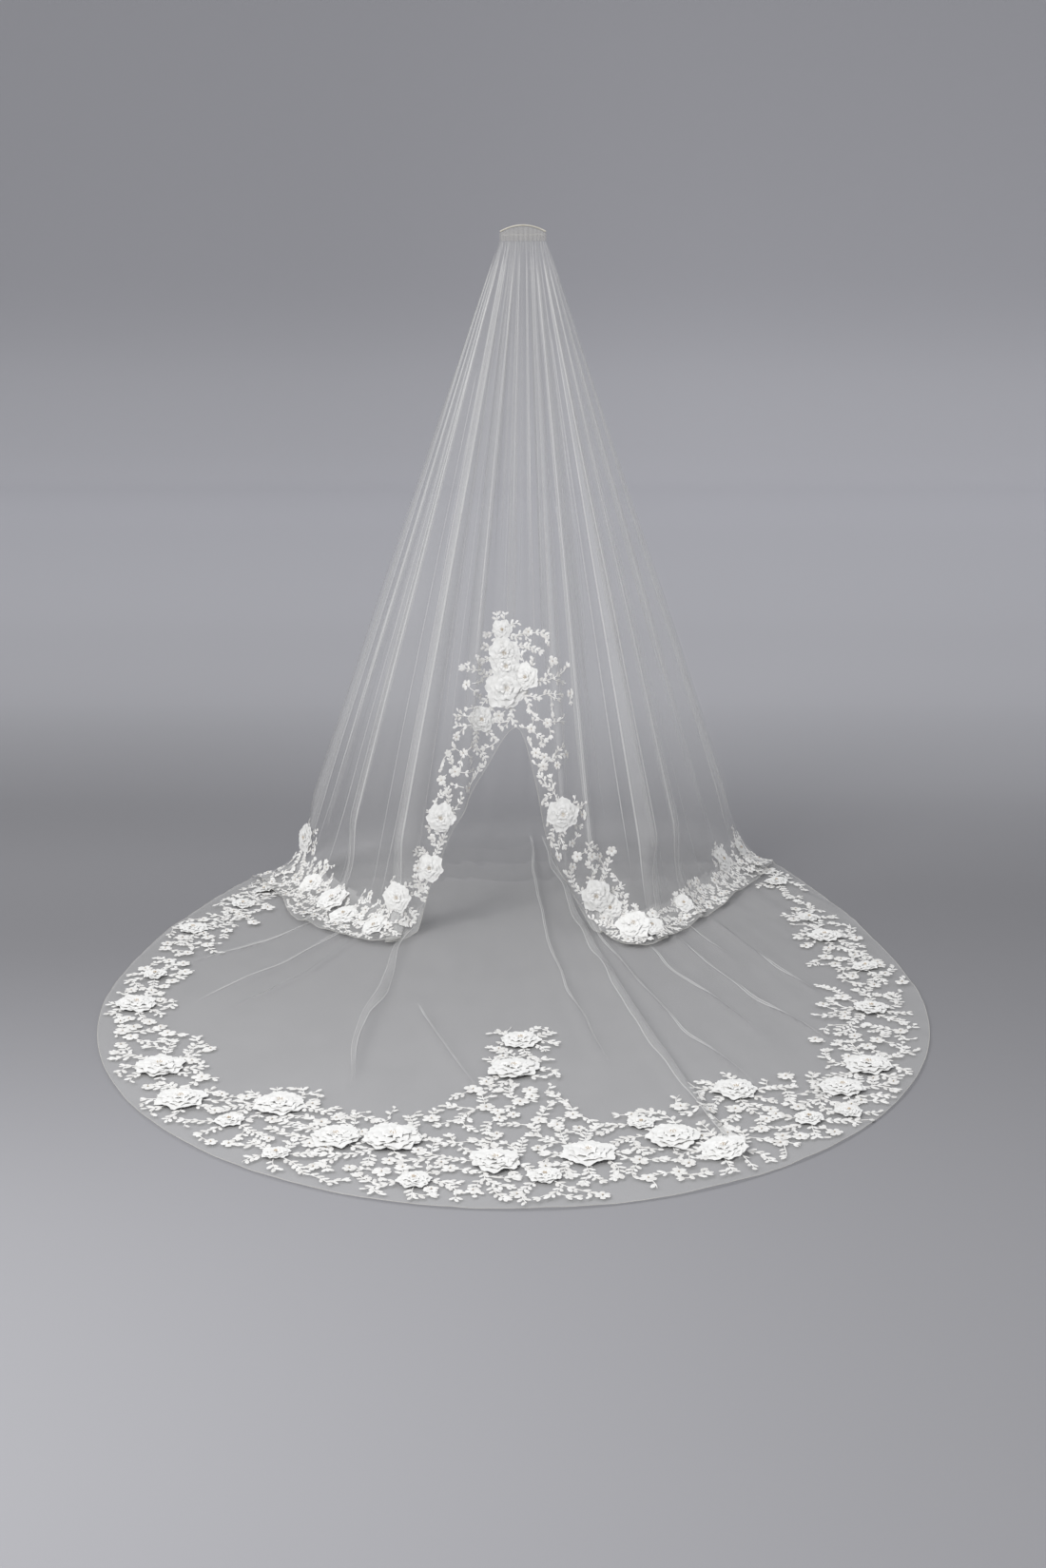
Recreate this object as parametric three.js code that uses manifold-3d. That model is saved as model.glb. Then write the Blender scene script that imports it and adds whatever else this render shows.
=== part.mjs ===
// A floor length bridal veil of sheer net, gathered on a hair comb and bordered with lace flowers.
// Millimetres, +Z up. The origin is the comb's seat, where the veil is pinned into the hair. The short
// front fall hangs on the -Y side and ends in an arch. The back fall hangs on the +Y side, meets the
// floor and is spread forward under the arch as a round train.
import * as THREE from 'three';
import Module from 'manifold-3d';
import { mergeVertices } from 'three/addons/utils/BufferGeometryUtils.js';

const wasm = await Module();
wasm.setup();

// Driving dimensions
const HANG = 1600; // height of the comb's seat over the floor
const NET = 1.5; // thickness of the net's wall
const LACE = 1.6; // thickness of the lace border
const GAP = 0.3; // clearance between pieces that touch
const SEAM = 1; // how far each panel of net stops short of a side fold
const HEADING = { halfWidth: 56, halfDepth: 9.5, low: -14, end: 17, crown: 33, gathers: 26, gather: 1.2 };
const BINDING = { radius: 2.2, halfWidth: 54, sides: 8, steps: 16 };
const COMB = { width: 98, spine: 6, depth: 3, teeth: 17, tooth: 2.4, length: 38 };
const BEND = 110; // length over which the net turns from hanging to lying
const TRAIN = { x: -20, y: -800, halfWidth: 890, halfLength: 987, taperRight: 0.75, taperLeft: 0.45, bearing: 131, crowd: 0.35 };
const TRAIN_REST = 3; // height of the train's mid surface over the floor
const HEM_REST = 14; // height of the front hem where it lies on the train

// Where each rib of the net leaves the hanging part, in plan, from the near centre round by the right.
// turn: degrees round the comb. lift: height of that place over the floor. outX, outY: how far the hem
// spreads from there over the floor. The far rows go on into the train, so they spread by its outline.
const RIBS = [
  { turn: -90, footX: -588, footY: 75, lift: 0, outX: -104, outY: -36 },
  { turn: -74, footX: -535, footY: -35, lift: 0, outX: -70, outY: -95 },
  { turn: -58, footX: -462, footY: -150, lift: 0, outX: -85, outY: -150 },
  { turn: -44, footX: -375, footY: -290, lift: 0, outX: -60, outY: -115 },
  { turn: -34, footX: -312, footY: -375, lift: 0, outX: -8, outY: -100 },
  { turn: -26, footX: -256, footY: -385, lift: 12, outX: 4, outY: -20 },
  { turn: -20, footX: -216, footY: -362, lift: 115, outX: 0, outY: 0 },
  { turn: -14, footX: -158, footY: -322, lift: 250, outX: 0, outY: 0 },
  { turn: -7, footX: -92, footY: -278, lift: 362, outX: 0, outY: 0 },
  { turn: 0, footX: -15, footY: -250, lift: 462, outX: 0, outY: 0 },
  { turn: 6, footX: 28, footY: -290, lift: 345, outX: 0, outY: 0 },
  { turn: 12, footX: 58, footY: -328, lift: 205, outX: 0, outY: 0 },
  { turn: 18, footX: 105, footY: -360, lift: 105, outX: 0, outY: 0 },
  { turn: 25, footX: 168, footY: -384, lift: 18, outX: 6, outY: -24 },
  { turn: 34, footX: 246, footY: -384, lift: 0, outX: 2, outY: -98 },
  { turn: 44, footX: 312, footY: -345, lift: 0, outX: 8, outY: -118 },
  { turn: 56, footX: 378, footY: -240, lift: 0, outX: 34, outY: -96 },
  { turn: 72, footX: 478, footY: -60, lift: 0, outX: 44, outY: -78 },
  { turn: 90, footX: 585, footY: 200, lift: 0, outX: 67, outY: -34 },
  { turn: 103, footX: 548, footY: 305, lift: 0, outX: 0, outY: 0 },
  { turn: 120, footX: 440, footY: 370, lift: 0, outX: 0, outY: 0 },
  { turn: 145, footX: 250, footY: 394, lift: 0, outX: 0, outY: 0 },
  { turn: 180, footX: 0, footY: 387, lift: 0, outX: 0, outY: 0 },
  { turn: 220, footX: -310, footY: 350, lift: 0, outX: 0, outY: 0 },
  { turn: 250, footX: -520, footY: 235, lift: 0, outX: 0, outY: 0 },
  { turn: 270, footX: -588, footY: 75, lift: 0, outX: -104, outY: -36 },
];

// Main pleats of the net. at: turn of the fold. half: half its width in degrees. deep: how far it stands
// out from the wall in hundredths of its distance from the comb.
const PLEATS = [
  { at: -85, half: 3, deep: 1.8 },
  { at: -70, half: 4, deep: 2.0 },
  { at: -54, half: 4, deep: 2.4 },
  { at: -33, half: 5, deep: 3.2 },
  { at: -13, half: 3, deep: 1.8 },
  { at: 18, half: 3, deep: 1.8 },
  { at: 26, half: 3, deep: 2.0 },
  { at: 45, half: 5, deep: 3.2 },
  { at: 58, half: 4, deep: 2.4 },
  { at: 72, half: 4, deep: 2.0 },
  { at: 84, half: 3, deep: 1.8 },
  { at: 112, half: 5, deep: 2.0 },
  { at: 130, half: 5, deep: 2.2 },
  { at: 147, half: 4, deep: 2.4 },
  { at: 157, half: 4, deep: 2.0 },
  { at: 168, half: 4, deep: 2.4 },
  { at: 177, half: 3, deep: 2.0 },
  { at: 194, half: 4, deep: 2.4 },
  { at: 204, half: 4, deep: 2.0 },
  { at: 213, half: 4, deep: 2.4 },
  { at: 228, half: 5, deep: 2.2 },
  { at: 246, half: 5, deep: 2.0 },
];
const FLAT_PLEAT = 7; // height of a pleat where it runs on over the floor
const SETTLE = { low: 40, high: 240 }; // heights over the floor between which a pleat sinks down
const PLEAT_FADE = 1200; // length over which a pleat dies away on the floor

// Width of the lace border. turn: degrees round the comb. wide: along the rib from the cut edge to its
// inner tips. Peaks stand over the arch and in the middle of the train.
const LACE_WIDTHS = [
  { turn: -90, wide: 230 },
  { turn: -48, wide: 230 },
  { turn: -30, wide: 350 },
  { turn: -14, wide: 240 },
  { turn: -3, wide: 300 },
  { turn: 6, wide: 250 },
  { turn: 19, wide: 380 },
  { turn: 28, wide: 210 },
  { turn: 50, wide: 160 },
  { turn: 90, wide: 195 },
  { turn: 115, wide: 440 },
  { turn: 128, wide: 620 },
  { turn: 144, wide: 350 },
  { turn: 162, wide: 430 },
  { turn: 168, wide: 345 },
  { turn: 173, wide: 440 },
  { turn: 180, wide: 900 },
  { turn: 186, wide: 430 },
  { turn: 190, wide: 330 },
  { turn: 195, wide: 420 },
  { turn: 217, wide: 325 },
  { turn: 239, wide: 370 },
  { turn: 254, wide: 430 },
  { turn: 270, wide: 230 },
];
const BACK_SPLITS = [151, 209]; // turns near which the back fall is split, at the feet of pleats
const LACE_SPLITS = [184]; // the same for the train's border, where no flower is
const LACE_ROWS = 5; // cells across the border
const SCALLOP = 0.16; // depth of the waves of its inner edge, as a share of its width
const WALL_ROWS = [0, 0.06, 0.2, 0.45, 0.72, 1]; // shares of the hanging part, from the comb down
const BACK_ROWS = [0, 0.06, 0.2, 0.45, 0.74]; // the same for the back fall, which ends in the bend at the floor
const TRAIN_ROWS = 5; // rows of the train's plain net
const SPLIT = 0.3; // share of the bend past the foot where the back fall ends and the train begins
const COLUMN_STEP = 5; // widest column, in degrees of turn
const SIDE = 90; // turn where the front fall meets the back fall
const TURN_STEP = 0.5; // turn to either side, for a normal
const LENGTH_STEP = 3; // length to either side, for a normal

// Large raised flowers. turn: degrees round the comb. inset: from the cut edge. radius: of the bloom.
const FRONT_FLOWERS = [
  { turn: -85, inset: 200, radius: 30 },
  { turn: -54, inset: 130, radius: 36 },
  { turn: -33, inset: 160, radius: 30 },
  { turn: -22.5, inset: 92, radius: 27 },
  { turn: -20, inset: 152, radius: 29 },
  { turn: -3, inset: 120, radius: 42 },
  { turn: -4, inset: 222, radius: 32 },
  { turn: 18, inset: 168, radius: 32 },
  { turn: 26, inset: 96, radius: 30 },
  { turn: 36, inset: 90, radius: 36 },
  { turn: 77, inset: 130, radius: 30 },
];
const RIGHT_FLOWERS = [
  { turn: 129.5, inset: 400, radius: 31 },
  { turn: 140.5, inset: 235, radius: 32 },
  { turn: 149, inset: 150, radius: 40 },
  { turn: 153.5, inset: 155, radius: 38 },
  { turn: 162.5, inset: 335, radius: 38 },
  { turn: 166, inset: 120, radius: 39 },
  { turn: 169, inset: 218, radius: 43 },
  { turn: 175, inset: 200, radius: 41 },
  { turn: 181, inset: 180, radius: 39 },
  { turn: 180, inset: 600, radius: 44 },
  { turn: 179.5, inset: 750, radius: 35 },
];
const LEFT_FLOWERS = [
  { turn: 188, inset: 240, radius: 48 },
  { turn: 192, inset: 200, radius: 40 },
  { turn: 197.5, inset: 265, radius: 43 },
  { turn: 205.5, inset: 112, radius: 40 },
  { turn: 210.5, inset: 150, radius: 43 },
  { turn: 223, inset: 155, radius: 37 },
  { turn: 239.5, inset: 215, radius: 29 },
];
const BLOOM = { petals: 5, hub: 9, stem: 5, lip: 5, sheet: 2, notch: 0.72, dip: 2.5 };

// Materials
const netCloth = () => new THREE.MeshStandardMaterial({ color: 0xf1f0ee, roughness: 0.9, metalness: 0 });
const laceCloth = () => new THREE.MeshStandardMaterial({ color: 0xf7f5f1, roughness: 0.85, metalness: 0 });
const creamRibbon = () => new THREE.MeshStandardMaterial({ color: 0xe9dfc9, roughness: 0.6, metalness: 0 });
const combPlastic = () => new THREE.MeshStandardMaterial({ color: 0xe6e2d8, roughness: 0.3, metalness: 0 });

// Tables read as smooth tracks
const lerp = (a, b, f) => a + (b - a) * f;

function track(rows, column, turn) {
  let k = 0;
  while (k < rows.length - 2 && turn > rows[k + 1].turn) {
    k += 1;
  }
  const slope = (i) => {
    const a = rows[Math.max(i - 1, 0)];
    const b = rows[Math.min(i + 1, rows.length - 1)];
    return (b[column] - a[column]) / (b.turn - a.turn);
  };
  const span = rows[k + 1].turn - rows[k].turn;
  const f = (turn - rows[k].turn) / span;
  const rise = rows[k + 1][column] - rows[k][column];
  const start = slope(k) * span;
  const end = slope(k + 1) * span;
  return rows[k][column] + f * start + f * f * (3 * rise - 2 * start - end) + f ** 3 * (start + end - 2 * rise);
}

// The train's outline: an ellipse in front, drawn out to the bell's feet behind
function trainEdge(turn) {
  const side = (180 - turn) / 90;
  const bearing = TRAIN.bearing * (side + TRAIN.crowd * (side - side ** 3)) * THREE.MathUtils.DEG2RAD;
  const taper = turn < 180 ? TRAIN.taperRight : TRAIN.taperLeft;
  const back = Math.max(0, -Math.cos(bearing));
  const y = TRAIN.y - TRAIN.halfLength * Math.cos(bearing) * (1 + taper * back);
  return new THREE.Vector3(TRAIN.x + TRAIN.halfWidth * Math.sin(bearing), y, -HANG + TRAIN_REST);
}

// A rib runs from the comb down the hanging part and on along the floor to the cut edge
function ringPoint(turn) {
  const a = turn * THREE.MathUtils.DEG2RAD;
  const round = (v) => Math.sign(v) * Math.sqrt(Math.abs(v));
  const x = (HEADING.halfWidth - 2) * lerp(Math.sin(a), round(Math.sin(a)), 0.35);
  const y = -(HEADING.halfDepth - 2.6) * lerp(Math.cos(a), round(Math.cos(a)), 0.5);
  return new THREE.Vector3(x, y, HEADING.low - 2 * GAP);
}

function rib(turn) {
  const ring = ringPoint(turn);
  const far = turn > 90 && turn < 270;
  const rest = far ? TRAIN_REST : lerp(HEM_REST, TRAIN_REST, THREE.MathUtils.smoothstep(Math.abs(turn), 84, 96));
  const lift = Math.max(0, track(RIBS, 'lift', turn));
  const foot = new THREE.Vector3(track(RIBS, 'footX', turn), track(RIBS, 'footY', turn), -HANG + rest + lift);
  const out = new THREE.Vector3(track(RIBS, 'outX', turn), track(RIBS, 'outY', turn), 0);
  const edge = far ? trainEdge(turn) : foot.clone().add(out);
  edge.z = Math.min(foot.z, -HANG + rest + Math.max(0, lift - out.length()));
  const hang = foot.clone().sub(ring);
  const lie = edge.clone().sub(foot);
  return { ring, down: hang.clone().normalize(), along: lie.clone().normalize(), hang: hang.length(), lie: lie.length() };
}

function ribPoint(line, t) {
  const bend = Math.max(1, Math.min(BEND, line.lie));
  const past = t - line.hang;
  let lying = 0;
  if (past > bend) {
    lying = past;
  } else if (past > -bend) {
    lying = (past + bend) ** 2 / (4 * bend);
  }
  return line.ring.clone().addScaledVector(line.down, t - lying).addScaledVector(line.along, lying);
}

// How far the pleats push the net out of its smooth shape. settle: 0 while it hangs, 1 where it lies.
function pleatHeight(turn, t, line, settle) {
  const fade = Math.exp(-Math.max(0, t - line.hang) / PLEAT_FADE);
  let height = 0;
  for (const pleat of PLEATS) {
    const off = Math.abs(turn - pleat.at) / pleat.half;
    if (off < 1) {
      const standing = (pleat.deep / 100) * Math.min(t, line.hang);
      height += lerp(standing, FLAT_PLEAT, settle) * fade * Math.cos((off * Math.PI) / 2) ** 2;
    }
  }
  return height;
}

function netPoint(turn, t) {
  const line = rib(turn);
  const share = t / (line.hang + line.lie);
  const beside = (step) => {
    const other = rib(turn + step);
    return ribPoint(other, share * (other.hang + other.lie));
  };
  const across = beside(TURN_STEP).sub(beside(-TURN_STEP));
  const along = ribPoint(line, t + LENGTH_STEP).sub(ribPoint(line, t - LENGTH_STEP));
  const point = ribPoint(line, t);
  const settle = 1 - THREE.MathUtils.smoothstep(point.z + HANG, SETTLE.low, SETTLE.high);
  const out = along.cross(across).normalize().lerp(new THREE.Vector3(0, 0, 1), settle);
  return point.addScaledVector(out, pleatHeight(turn, t, line, settle));
}

const ribLength = (turn) => {
  const line = rib(turn);
  return line.hang + line.lie;
};

function laceWidth(turn) {
  const wave = 1 - SCALLOP * (0.5 + 0.5 * Math.cos(turn * 0.7));
  return track(LACE_WIDTHS, 'wide', turn) * wave;
}

// Turns of the columns between two turns: every pleat's crest, flanks and feet, and no wide step
function columnTurns(from, to) {
  const knots = [from, to];
  for (const pleat of PLEATS) {
    for (const share of [-1, 0, 1]) {
      knots.push(pleat.at + pleat.half * share);
    }
  }
  const inside = knots.filter((turn) => turn >= from && turn <= to).sort((a, b) => a - b);
  const spaced = inside.filter((turn, i) => i === 0 || turn - inside[i - 1] > 0.8 || turn === to);
  const turns = [];
  spaced.forEach((turn, i) => {
    const next = spaced[i + 1];
    const parts = next === undefined ? 1 : Math.ceil((next - turn) / COLUMN_STEP);
    for (let k = 0; k < parts; k += 1) {
      turns.push(next === undefined ? turn : lerp(turn, next, k / parts));
    }
  });
  return turns;
}

// The net's normal at a turn and a length along the rib: out of the bell while it hangs
function netNormal(turn, t) {
  const share = t / ribLength(turn);
  const beside = (step) => netPoint(turn + step, share * ribLength(turn + step));
  const across = beside(TURN_STEP).sub(beside(-TURN_STEP));
  const along = netPoint(turn, t + LENGTH_STEP).sub(netPoint(turn, t - LENGTH_STEP));
  return along.cross(across).normalize();
}

function drawIn(column, next, distance) {
  column.forEach((point, j) => point.addScaledVector(next[j].clone().sub(point).normalize(), distance));
}

// A grid of points on the net with the net's normal at each, from turns and lengths along the ribs. The
// first and last columns are drawn in a little, so that panels that meet there keep a gap.
function netGrid(turns, lengthsAt) {
  const lengths = turns.map((turn) => lengthsAt(turn));
  const points = turns.map((turn, i) => lengths[i].map((t) => netPoint(turn, t)));
  drawIn(points[0], points[1], SEAM);
  drawIn(points.at(-1), points.at(-2), SEAM);
  return { points, normals: turns.map((turn, i) => lengths[i].map((t) => netNormal(turn, t))) };
}

function offsetGrid({ points, normals }, distance) {
  return points.map((column, i) => column.map((point, j) => point.clone().addScaledVector(normals[i][j], distance)));
}

// A solid between two grids, made of the cells that are kept
function shell(outer, inner, kept = () => true) {
  const positions = [];
  const quad = (a, b, c, d) => {
    for (const point of [a, b, c, a, c, d]) {
      positions.push(point.x, point.y, point.z);
    }
  };
  const columns = outer.length - 1;
  const rows = outer[0].length - 1;
  const there = (i, j) => i >= 0 && j >= 0 && i < columns && j < rows && kept(i, j);
  for (let i = 0; i < columns; i += 1) {
    for (let j = 0; j < rows; j += 1) {
      if (!there(i, j)) {
        continue;
      }
      quad(outer[i][j], outer[i][j + 1], outer[i + 1][j + 1], outer[i + 1][j]);
      quad(inner[i][j], inner[i + 1][j], inner[i + 1][j + 1], inner[i][j + 1]);
      const sides = [
        [i - 1, j, i, j + 1, i, j],
        [i + 1, j, i + 1, j, i + 1, j + 1],
        [i, j - 1, i, j, i + 1, j],
        [i, j + 1, i + 1, j + 1, i, j + 1],
      ];
      for (const [ni, nj, ai, aj, bi, bj] of sides) {
        if (!there(ni, nj)) {
          quad(outer[bi][bj], inner[bi][bj], inner[ai][aj], outer[ai][aj]);
        }
      }
    }
  }
  return closed(positions);
}

function closed(positions) {
  const geometry = new THREE.BufferGeometry();
  geometry.setAttribute('position', new THREE.Float32BufferAttribute(positions, 3));
  const merged = mergeVertices(geometry, 1e-3);
  merged.computeVertexNormals();
  return merged;
}

function piece(name, geometry, material) {
  const mesh = new THREE.Mesh(geometry, material);
  mesh.name = name;
  return mesh;
}

// Rows of the front fall's plain net
const wallLengths = (turn) => {
  const line = rib(turn);
  const plain = Math.min(line.hang, line.hang + line.lie - laceWidth(turn));
  return WALL_ROWS.map((share) => share * plain);
};

const borderLengths = (turn) => {
  const whole = ribLength(turn);
  const wide = laceWidth(turn);
  return Array.from({ length: LACE_ROWS + 1 }, (_, k) => whole - wide * (1 - k / LACE_ROWS));
};

const frontTurns = columnTurns(-SIDE, SIDE);
const backTurns = columnTurns(SIDE, 360 - SIDE);
const frontGrid = netGrid(frontTurns, (turn) => [...wallLengths(turn).slice(0, -1), ...borderLengths(turn)]);
const footLengths = (turn) => {
  const { hang, lie } = rib(turn);
  const bend = Math.min(BEND, lie);
  return [...BACK_ROWS.map((share) => hang * share), hang - bend, hang - bend * SPLIT, hang + bend * SPLIT];
};
const trainLengths = (turn) => {
  const { hang, lie } = rib(turn);
  const start = hang + Math.min(BEND, lie) * SPLIT + 2 * SEAM;
  const whole = hang + lie;
  const band = borderLengths(turn).map((t, k) => Math.max(t, lerp(start, whole, 0.5 + (0.5 * k) / LACE_ROWS)));
  const rows = Array.from({ length: TRAIN_ROWS }, (_, k) => lerp(start, band[0], k / TRAIN_ROWS));
  return [...rows, ...band];
};
const trainGrid = netGrid(backTurns, trainLengths);

// Panels of a grid that is split near some turns, with a gap between neighbours
function panelsOf({ points, normals }, splits) {
  const last = backTurns.length - 1;
  const ends = [0, ...splits.map((split) => backTurns.findIndex((turn) => turn >= split)), last];
  return ends.slice(1).map((to, k) => {
    const from = ends[k];
    const panel = {
      points: points.slice(from, to + 1).map((column) => column.map((point) => point.clone())),
      normals: normals.slice(from, to + 1),
      turns: backTurns.slice(from, to + 1),
    };
    if (from > 0) {
      drawIn(panel.points[0], panel.points[1], GAP);
    }
    if (to < last) {
      drawIn(panel.points.at(-1), panel.points.at(-2), GAP);
    }
    return panel;
  });
}

const [backRight, backMiddle, backLeft] = panelsOf(netGrid(backTurns, footLengths), BACK_SPLITS);
const [laceRight, laceLeft] = panelsOf(trainGrid, LACE_SPLITS);

// The lace border follows the net's own facets, a gap clear of them, on the face that shows
const bandOf = ({ points, normals }) => ({
  points: points.map((column) => column.slice(-LACE_ROWS - 1)),
  normals: normals.map((column) => column.slice(-LACE_ROWS - 1)),
});

// Cells that are cut away: the inner edge is scalloped, and eyelets lie where no cut is beside them
function cutAway(i, j) {
  const place = i % 6;
  if (j === 0) {
    return place > 3;
  }
  return (j === 1 && place === 1) || (j === 2 && place === 3) || (j === 3 && place === 5);
}

// The border is whole round each flower, which is sewn to it
function laceBorder(grid, side, flowers) {
  const seats = flowers.map(({ turn, inset }) => ({
    column: grid.turns.findIndex((next) => next > turn) - 1,
    row: Math.floor(LACE_ROWS * (1 - inset / laceWidth(turn))),
  }));
  const sewn = (i, j) => seats.some(({ column, row }) => Math.abs(i - column) <= 1 && Math.abs(j - row) <= 1);
  const band = bandOf(grid);
  const near = side * (NET / 2 + GAP);
  const far = side * (NET / 2 + GAP + LACE);
  const kept = (i, j) => sewn(i, j) || !cutAway(i, j);
  return shell(offsetGrid(band, Math.max(near, far)), offsetGrid(band, Math.min(near, far)), kept);
}

// A raised flower: a hub that sits on the lace, and a cup of petals that opens above it
function bloom(radius) {
  const steps = BLOOM.petals * 2;
  const rings = [
    { reach: 0, high: BLOOM.stem + 4 },
    { reach: BLOOM.hub / radius, high: BLOOM.stem + 2 },
    { reach: 0.6, high: BLOOM.stem + 4 },
    { reach: 1, high: BLOOM.stem + BLOOM.lip },
    { reach: 0.96, high: BLOOM.stem + BLOOM.lip - BLOOM.sheet },
    { reach: (0.8 * BLOOM.hub) / radius, high: 0 },
    { reach: 0, high: 0 },
  ];
  const place = ({ reach, high }, k) => {
    const a = (k / steps) * 2 * Math.PI;
    const petal = k % 2 === 0 ? 1 : lerp(1, BLOOM.notch, reach);
    const r = reach * radius * petal;
    return new THREE.Vector3(r * Math.cos(a), r * Math.sin(a), high - (k % 2) * (reach > 0.5 ? BLOOM.dip : 0));
  };
  const positions = [];
  for (let ring = 0; ring < rings.length - 1; ring += 1) {
    for (let k = 0; k < steps; k += 1) {
      const [a, b] = [place(rings[ring], k), place(rings[ring], k + 1)];
      const [c, d] = [place(rings[ring + 1], k), place(rings[ring + 1], k + 1)];
      const faces = [[a, c, d], [a, d, b]].filter((face) => new THREE.Triangle(...face).getArea() > 1e-6);
      faces.flat().forEach((point) => positions.push(point.x, point.y, point.z));
    }
  }
  return closed(positions);
}

// Seats a flower on the highest of the lace's facets under its hub
const caster = new THREE.Raycaster();

function seatFlower(mesh, { turn, inset, radius }, side, lace) {
  const t = ribLength(turn) - inset;
  const up = netNormal(turn, t).multiplyScalar(side);
  const base = netPoint(turn, t);
  const x = netPoint(turn + TURN_STEP, t).sub(netPoint(turn - TURN_STEP, t));
  x.addScaledVector(up, -x.dot(up)).normalize();
  const y = up.clone().cross(x);
  let seat = -Infinity;
  for (let k = 0; k <= 8; k += 1) {
    const a = (k / 8) * 2 * Math.PI;
    const reach = k === 8 ? 0 : BLOOM.hub;
    const start = base.clone().addScaledVector(x, reach * Math.cos(a)).addScaledVector(y, reach * Math.sin(a));
    caster.set(start.clone().addScaledVector(up, radius), up.clone().negate());
    const hit = caster.intersectObject(lace)[0];
    if (hit) {
      seat = Math.max(seat, radius - hit.distance);
    }
  }
  mesh.matrixAutoUpdate = false;
  mesh.matrix.makeBasis(x, y, up).setPosition(base.addScaledVector(up, seat + GAP));
}

// The gathered heading: a ruched cap over the comb, higher in the middle, with a slot for the comb's spine
const headingTop = (x) => HEADING.low + lerp(HEADING.crown, HEADING.end, (x / HEADING.halfWidth) ** 2);

function heading() {
  const steps = HEADING.gathers * 2;
  const levels = [
    { deep: 0, high: 0 },
    { deep: 1, high: 0 },
    { deep: 1.04, high: 0.5 },
    { deep: 0.8, high: 0.88 },
    { deep: 0, high: 1 },
  ];
  const place = ({ deep, high }, k) => {
    const a = (k / steps) * 2 * Math.PI;
    const gather = (k % 2 === 0 ? 1 : -1) * HEADING.gather;
    const round = Math.sign(Math.cos(a)) * Math.sqrt(Math.abs(Math.cos(a)));
    const x = HEADING.halfWidth * Math.sin(a);
    return new THREE.Vector3(x, -(HEADING.halfDepth + gather) * round * deep, lerp(HEADING.low, headingTop(x), high));
  };
  const positions = [];
  for (let level = 0; level < levels.length - 1; level += 1) {
    for (let k = 0; k < steps; k += 1) {
      const [a, b] = [place(levels[level], k), place(levels[level], k + 1)];
      const [c, d] = [place(levels[level + 1], k), place(levels[level + 1], k + 1)];
      const faces = [[a, b, d], [a, d, c]].filter((face) => new THREE.Triangle(...face).getArea() > 1e-6);
      faces.flat().forEach((point) => positions.push(point.x, point.y, point.z));
    }
  }
  const slotHigh = HEADING.crown;
  const slot = new THREE.BoxGeometry(COMB.width + 2 * GAP, COMB.depth + 2 * GAP, slotHigh);
  slot.translate(0, 0, COMB.spine / 2 + GAP - slotHigh / 2);
  return fromSolid(toSolid(closed(positions)).subtract(toSolid(slot)));
}

function toSolid(geometry) {
  const bare = geometry.clone();
  bare.deleteAttribute('normal');
  bare.deleteAttribute('uv');
  const merged = mergeVertices(bare, 1e-3);
  const vertProperties = Float32Array.from(merged.attributes.position.array);
  return new wasm.Manifold(new wasm.Mesh({ numProp: 3, vertProperties, triVerts: Uint32Array.from(merged.index.array) }));
}

function fromSolid(solid) {
  const { vertProperties, triVerts } = solid.getMesh();
  const geometry = new THREE.BufferGeometry();
  geometry.setAttribute('position', new THREE.BufferAttribute(vertProperties, 3));
  geometry.setIndex(new THREE.BufferAttribute(triVerts, 1));
  geometry.computeVertexNormals();
  return geometry;
}

// The cream roll that binds the heading's top edge
function binding() {
  const points = Array.from({ length: BINDING.steps + 1 }, (_, k) => {
    const x = lerp(-BINDING.halfWidth, BINDING.halfWidth, k / BINDING.steps);
    return new THREE.Vector3(x, 0, headingTop(x) + GAP + BINDING.radius);
  });
  const ring = Array.from({ length: BINDING.sides }, (_, k) => {
    const a = ((k + 0.5) / BINDING.sides) * 2 * Math.PI;
    return new THREE.Vector2(BINDING.radius * Math.cos(a), BINDING.radius * Math.sin(a));
  });
  return new THREE.ExtrudeGeometry(new THREE.Shape(ring), {
    steps: BINDING.steps,
    extrudePath: new THREE.CatmullRomCurve3(points),
  });
}

// The comb: a spine in the heading's slot, and teeth that point down into the hair
function comb() {
  const pitch = (COMB.width - COMB.tooth) / (COMB.teeth - 1);
  const outline = [];
  for (let k = 0; k < COMB.teeth; k += 1) {
    const left = -COMB.width / 2 + k * pitch;
    const right = left + COMB.tooth;
    outline.push([left, -COMB.spine / 2], [left + COMB.tooth * 0.3, -COMB.length]);
    outline.push([right - COMB.tooth * 0.3, -COMB.length], [right, -COMB.spine / 2]);
  }
  outline.push([COMB.width / 2, COMB.spine / 2], [-COMB.width / 2, COMB.spine / 2]);
  const shape = new THREE.Shape(outline.map(([x, y]) => new THREE.Vector2(x, y)));
  const geometry = new THREE.ExtrudeGeometry(shape, { depth: COMB.depth, bevelEnabled: false });
  geometry.translate(0, 0, -COMB.depth / 2);
  geometry.rotateX(Math.PI / 2);
  return geometry;
}

const veil = new THREE.Group();
veil.add(piece('hair_comb', comb(), combPlastic()));
veil.add(piece('gathered_heading', heading(), netCloth()));
veil.add(piece('edge_binding', binding(), creamRibbon()));
const panels = [
  ['front_fall', frontGrid],
  ['back_fall_right', backRight],
  ['back_fall_middle', backMiddle],
  ['back_fall_left', backLeft],
  ['train', trainGrid],
];
for (const [name, grid] of panels) {
  veil.add(piece(name, shell(offsetGrid(grid, NET / 2), offsetGrid(grid, -NET / 2)), netCloth()));
}

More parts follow.
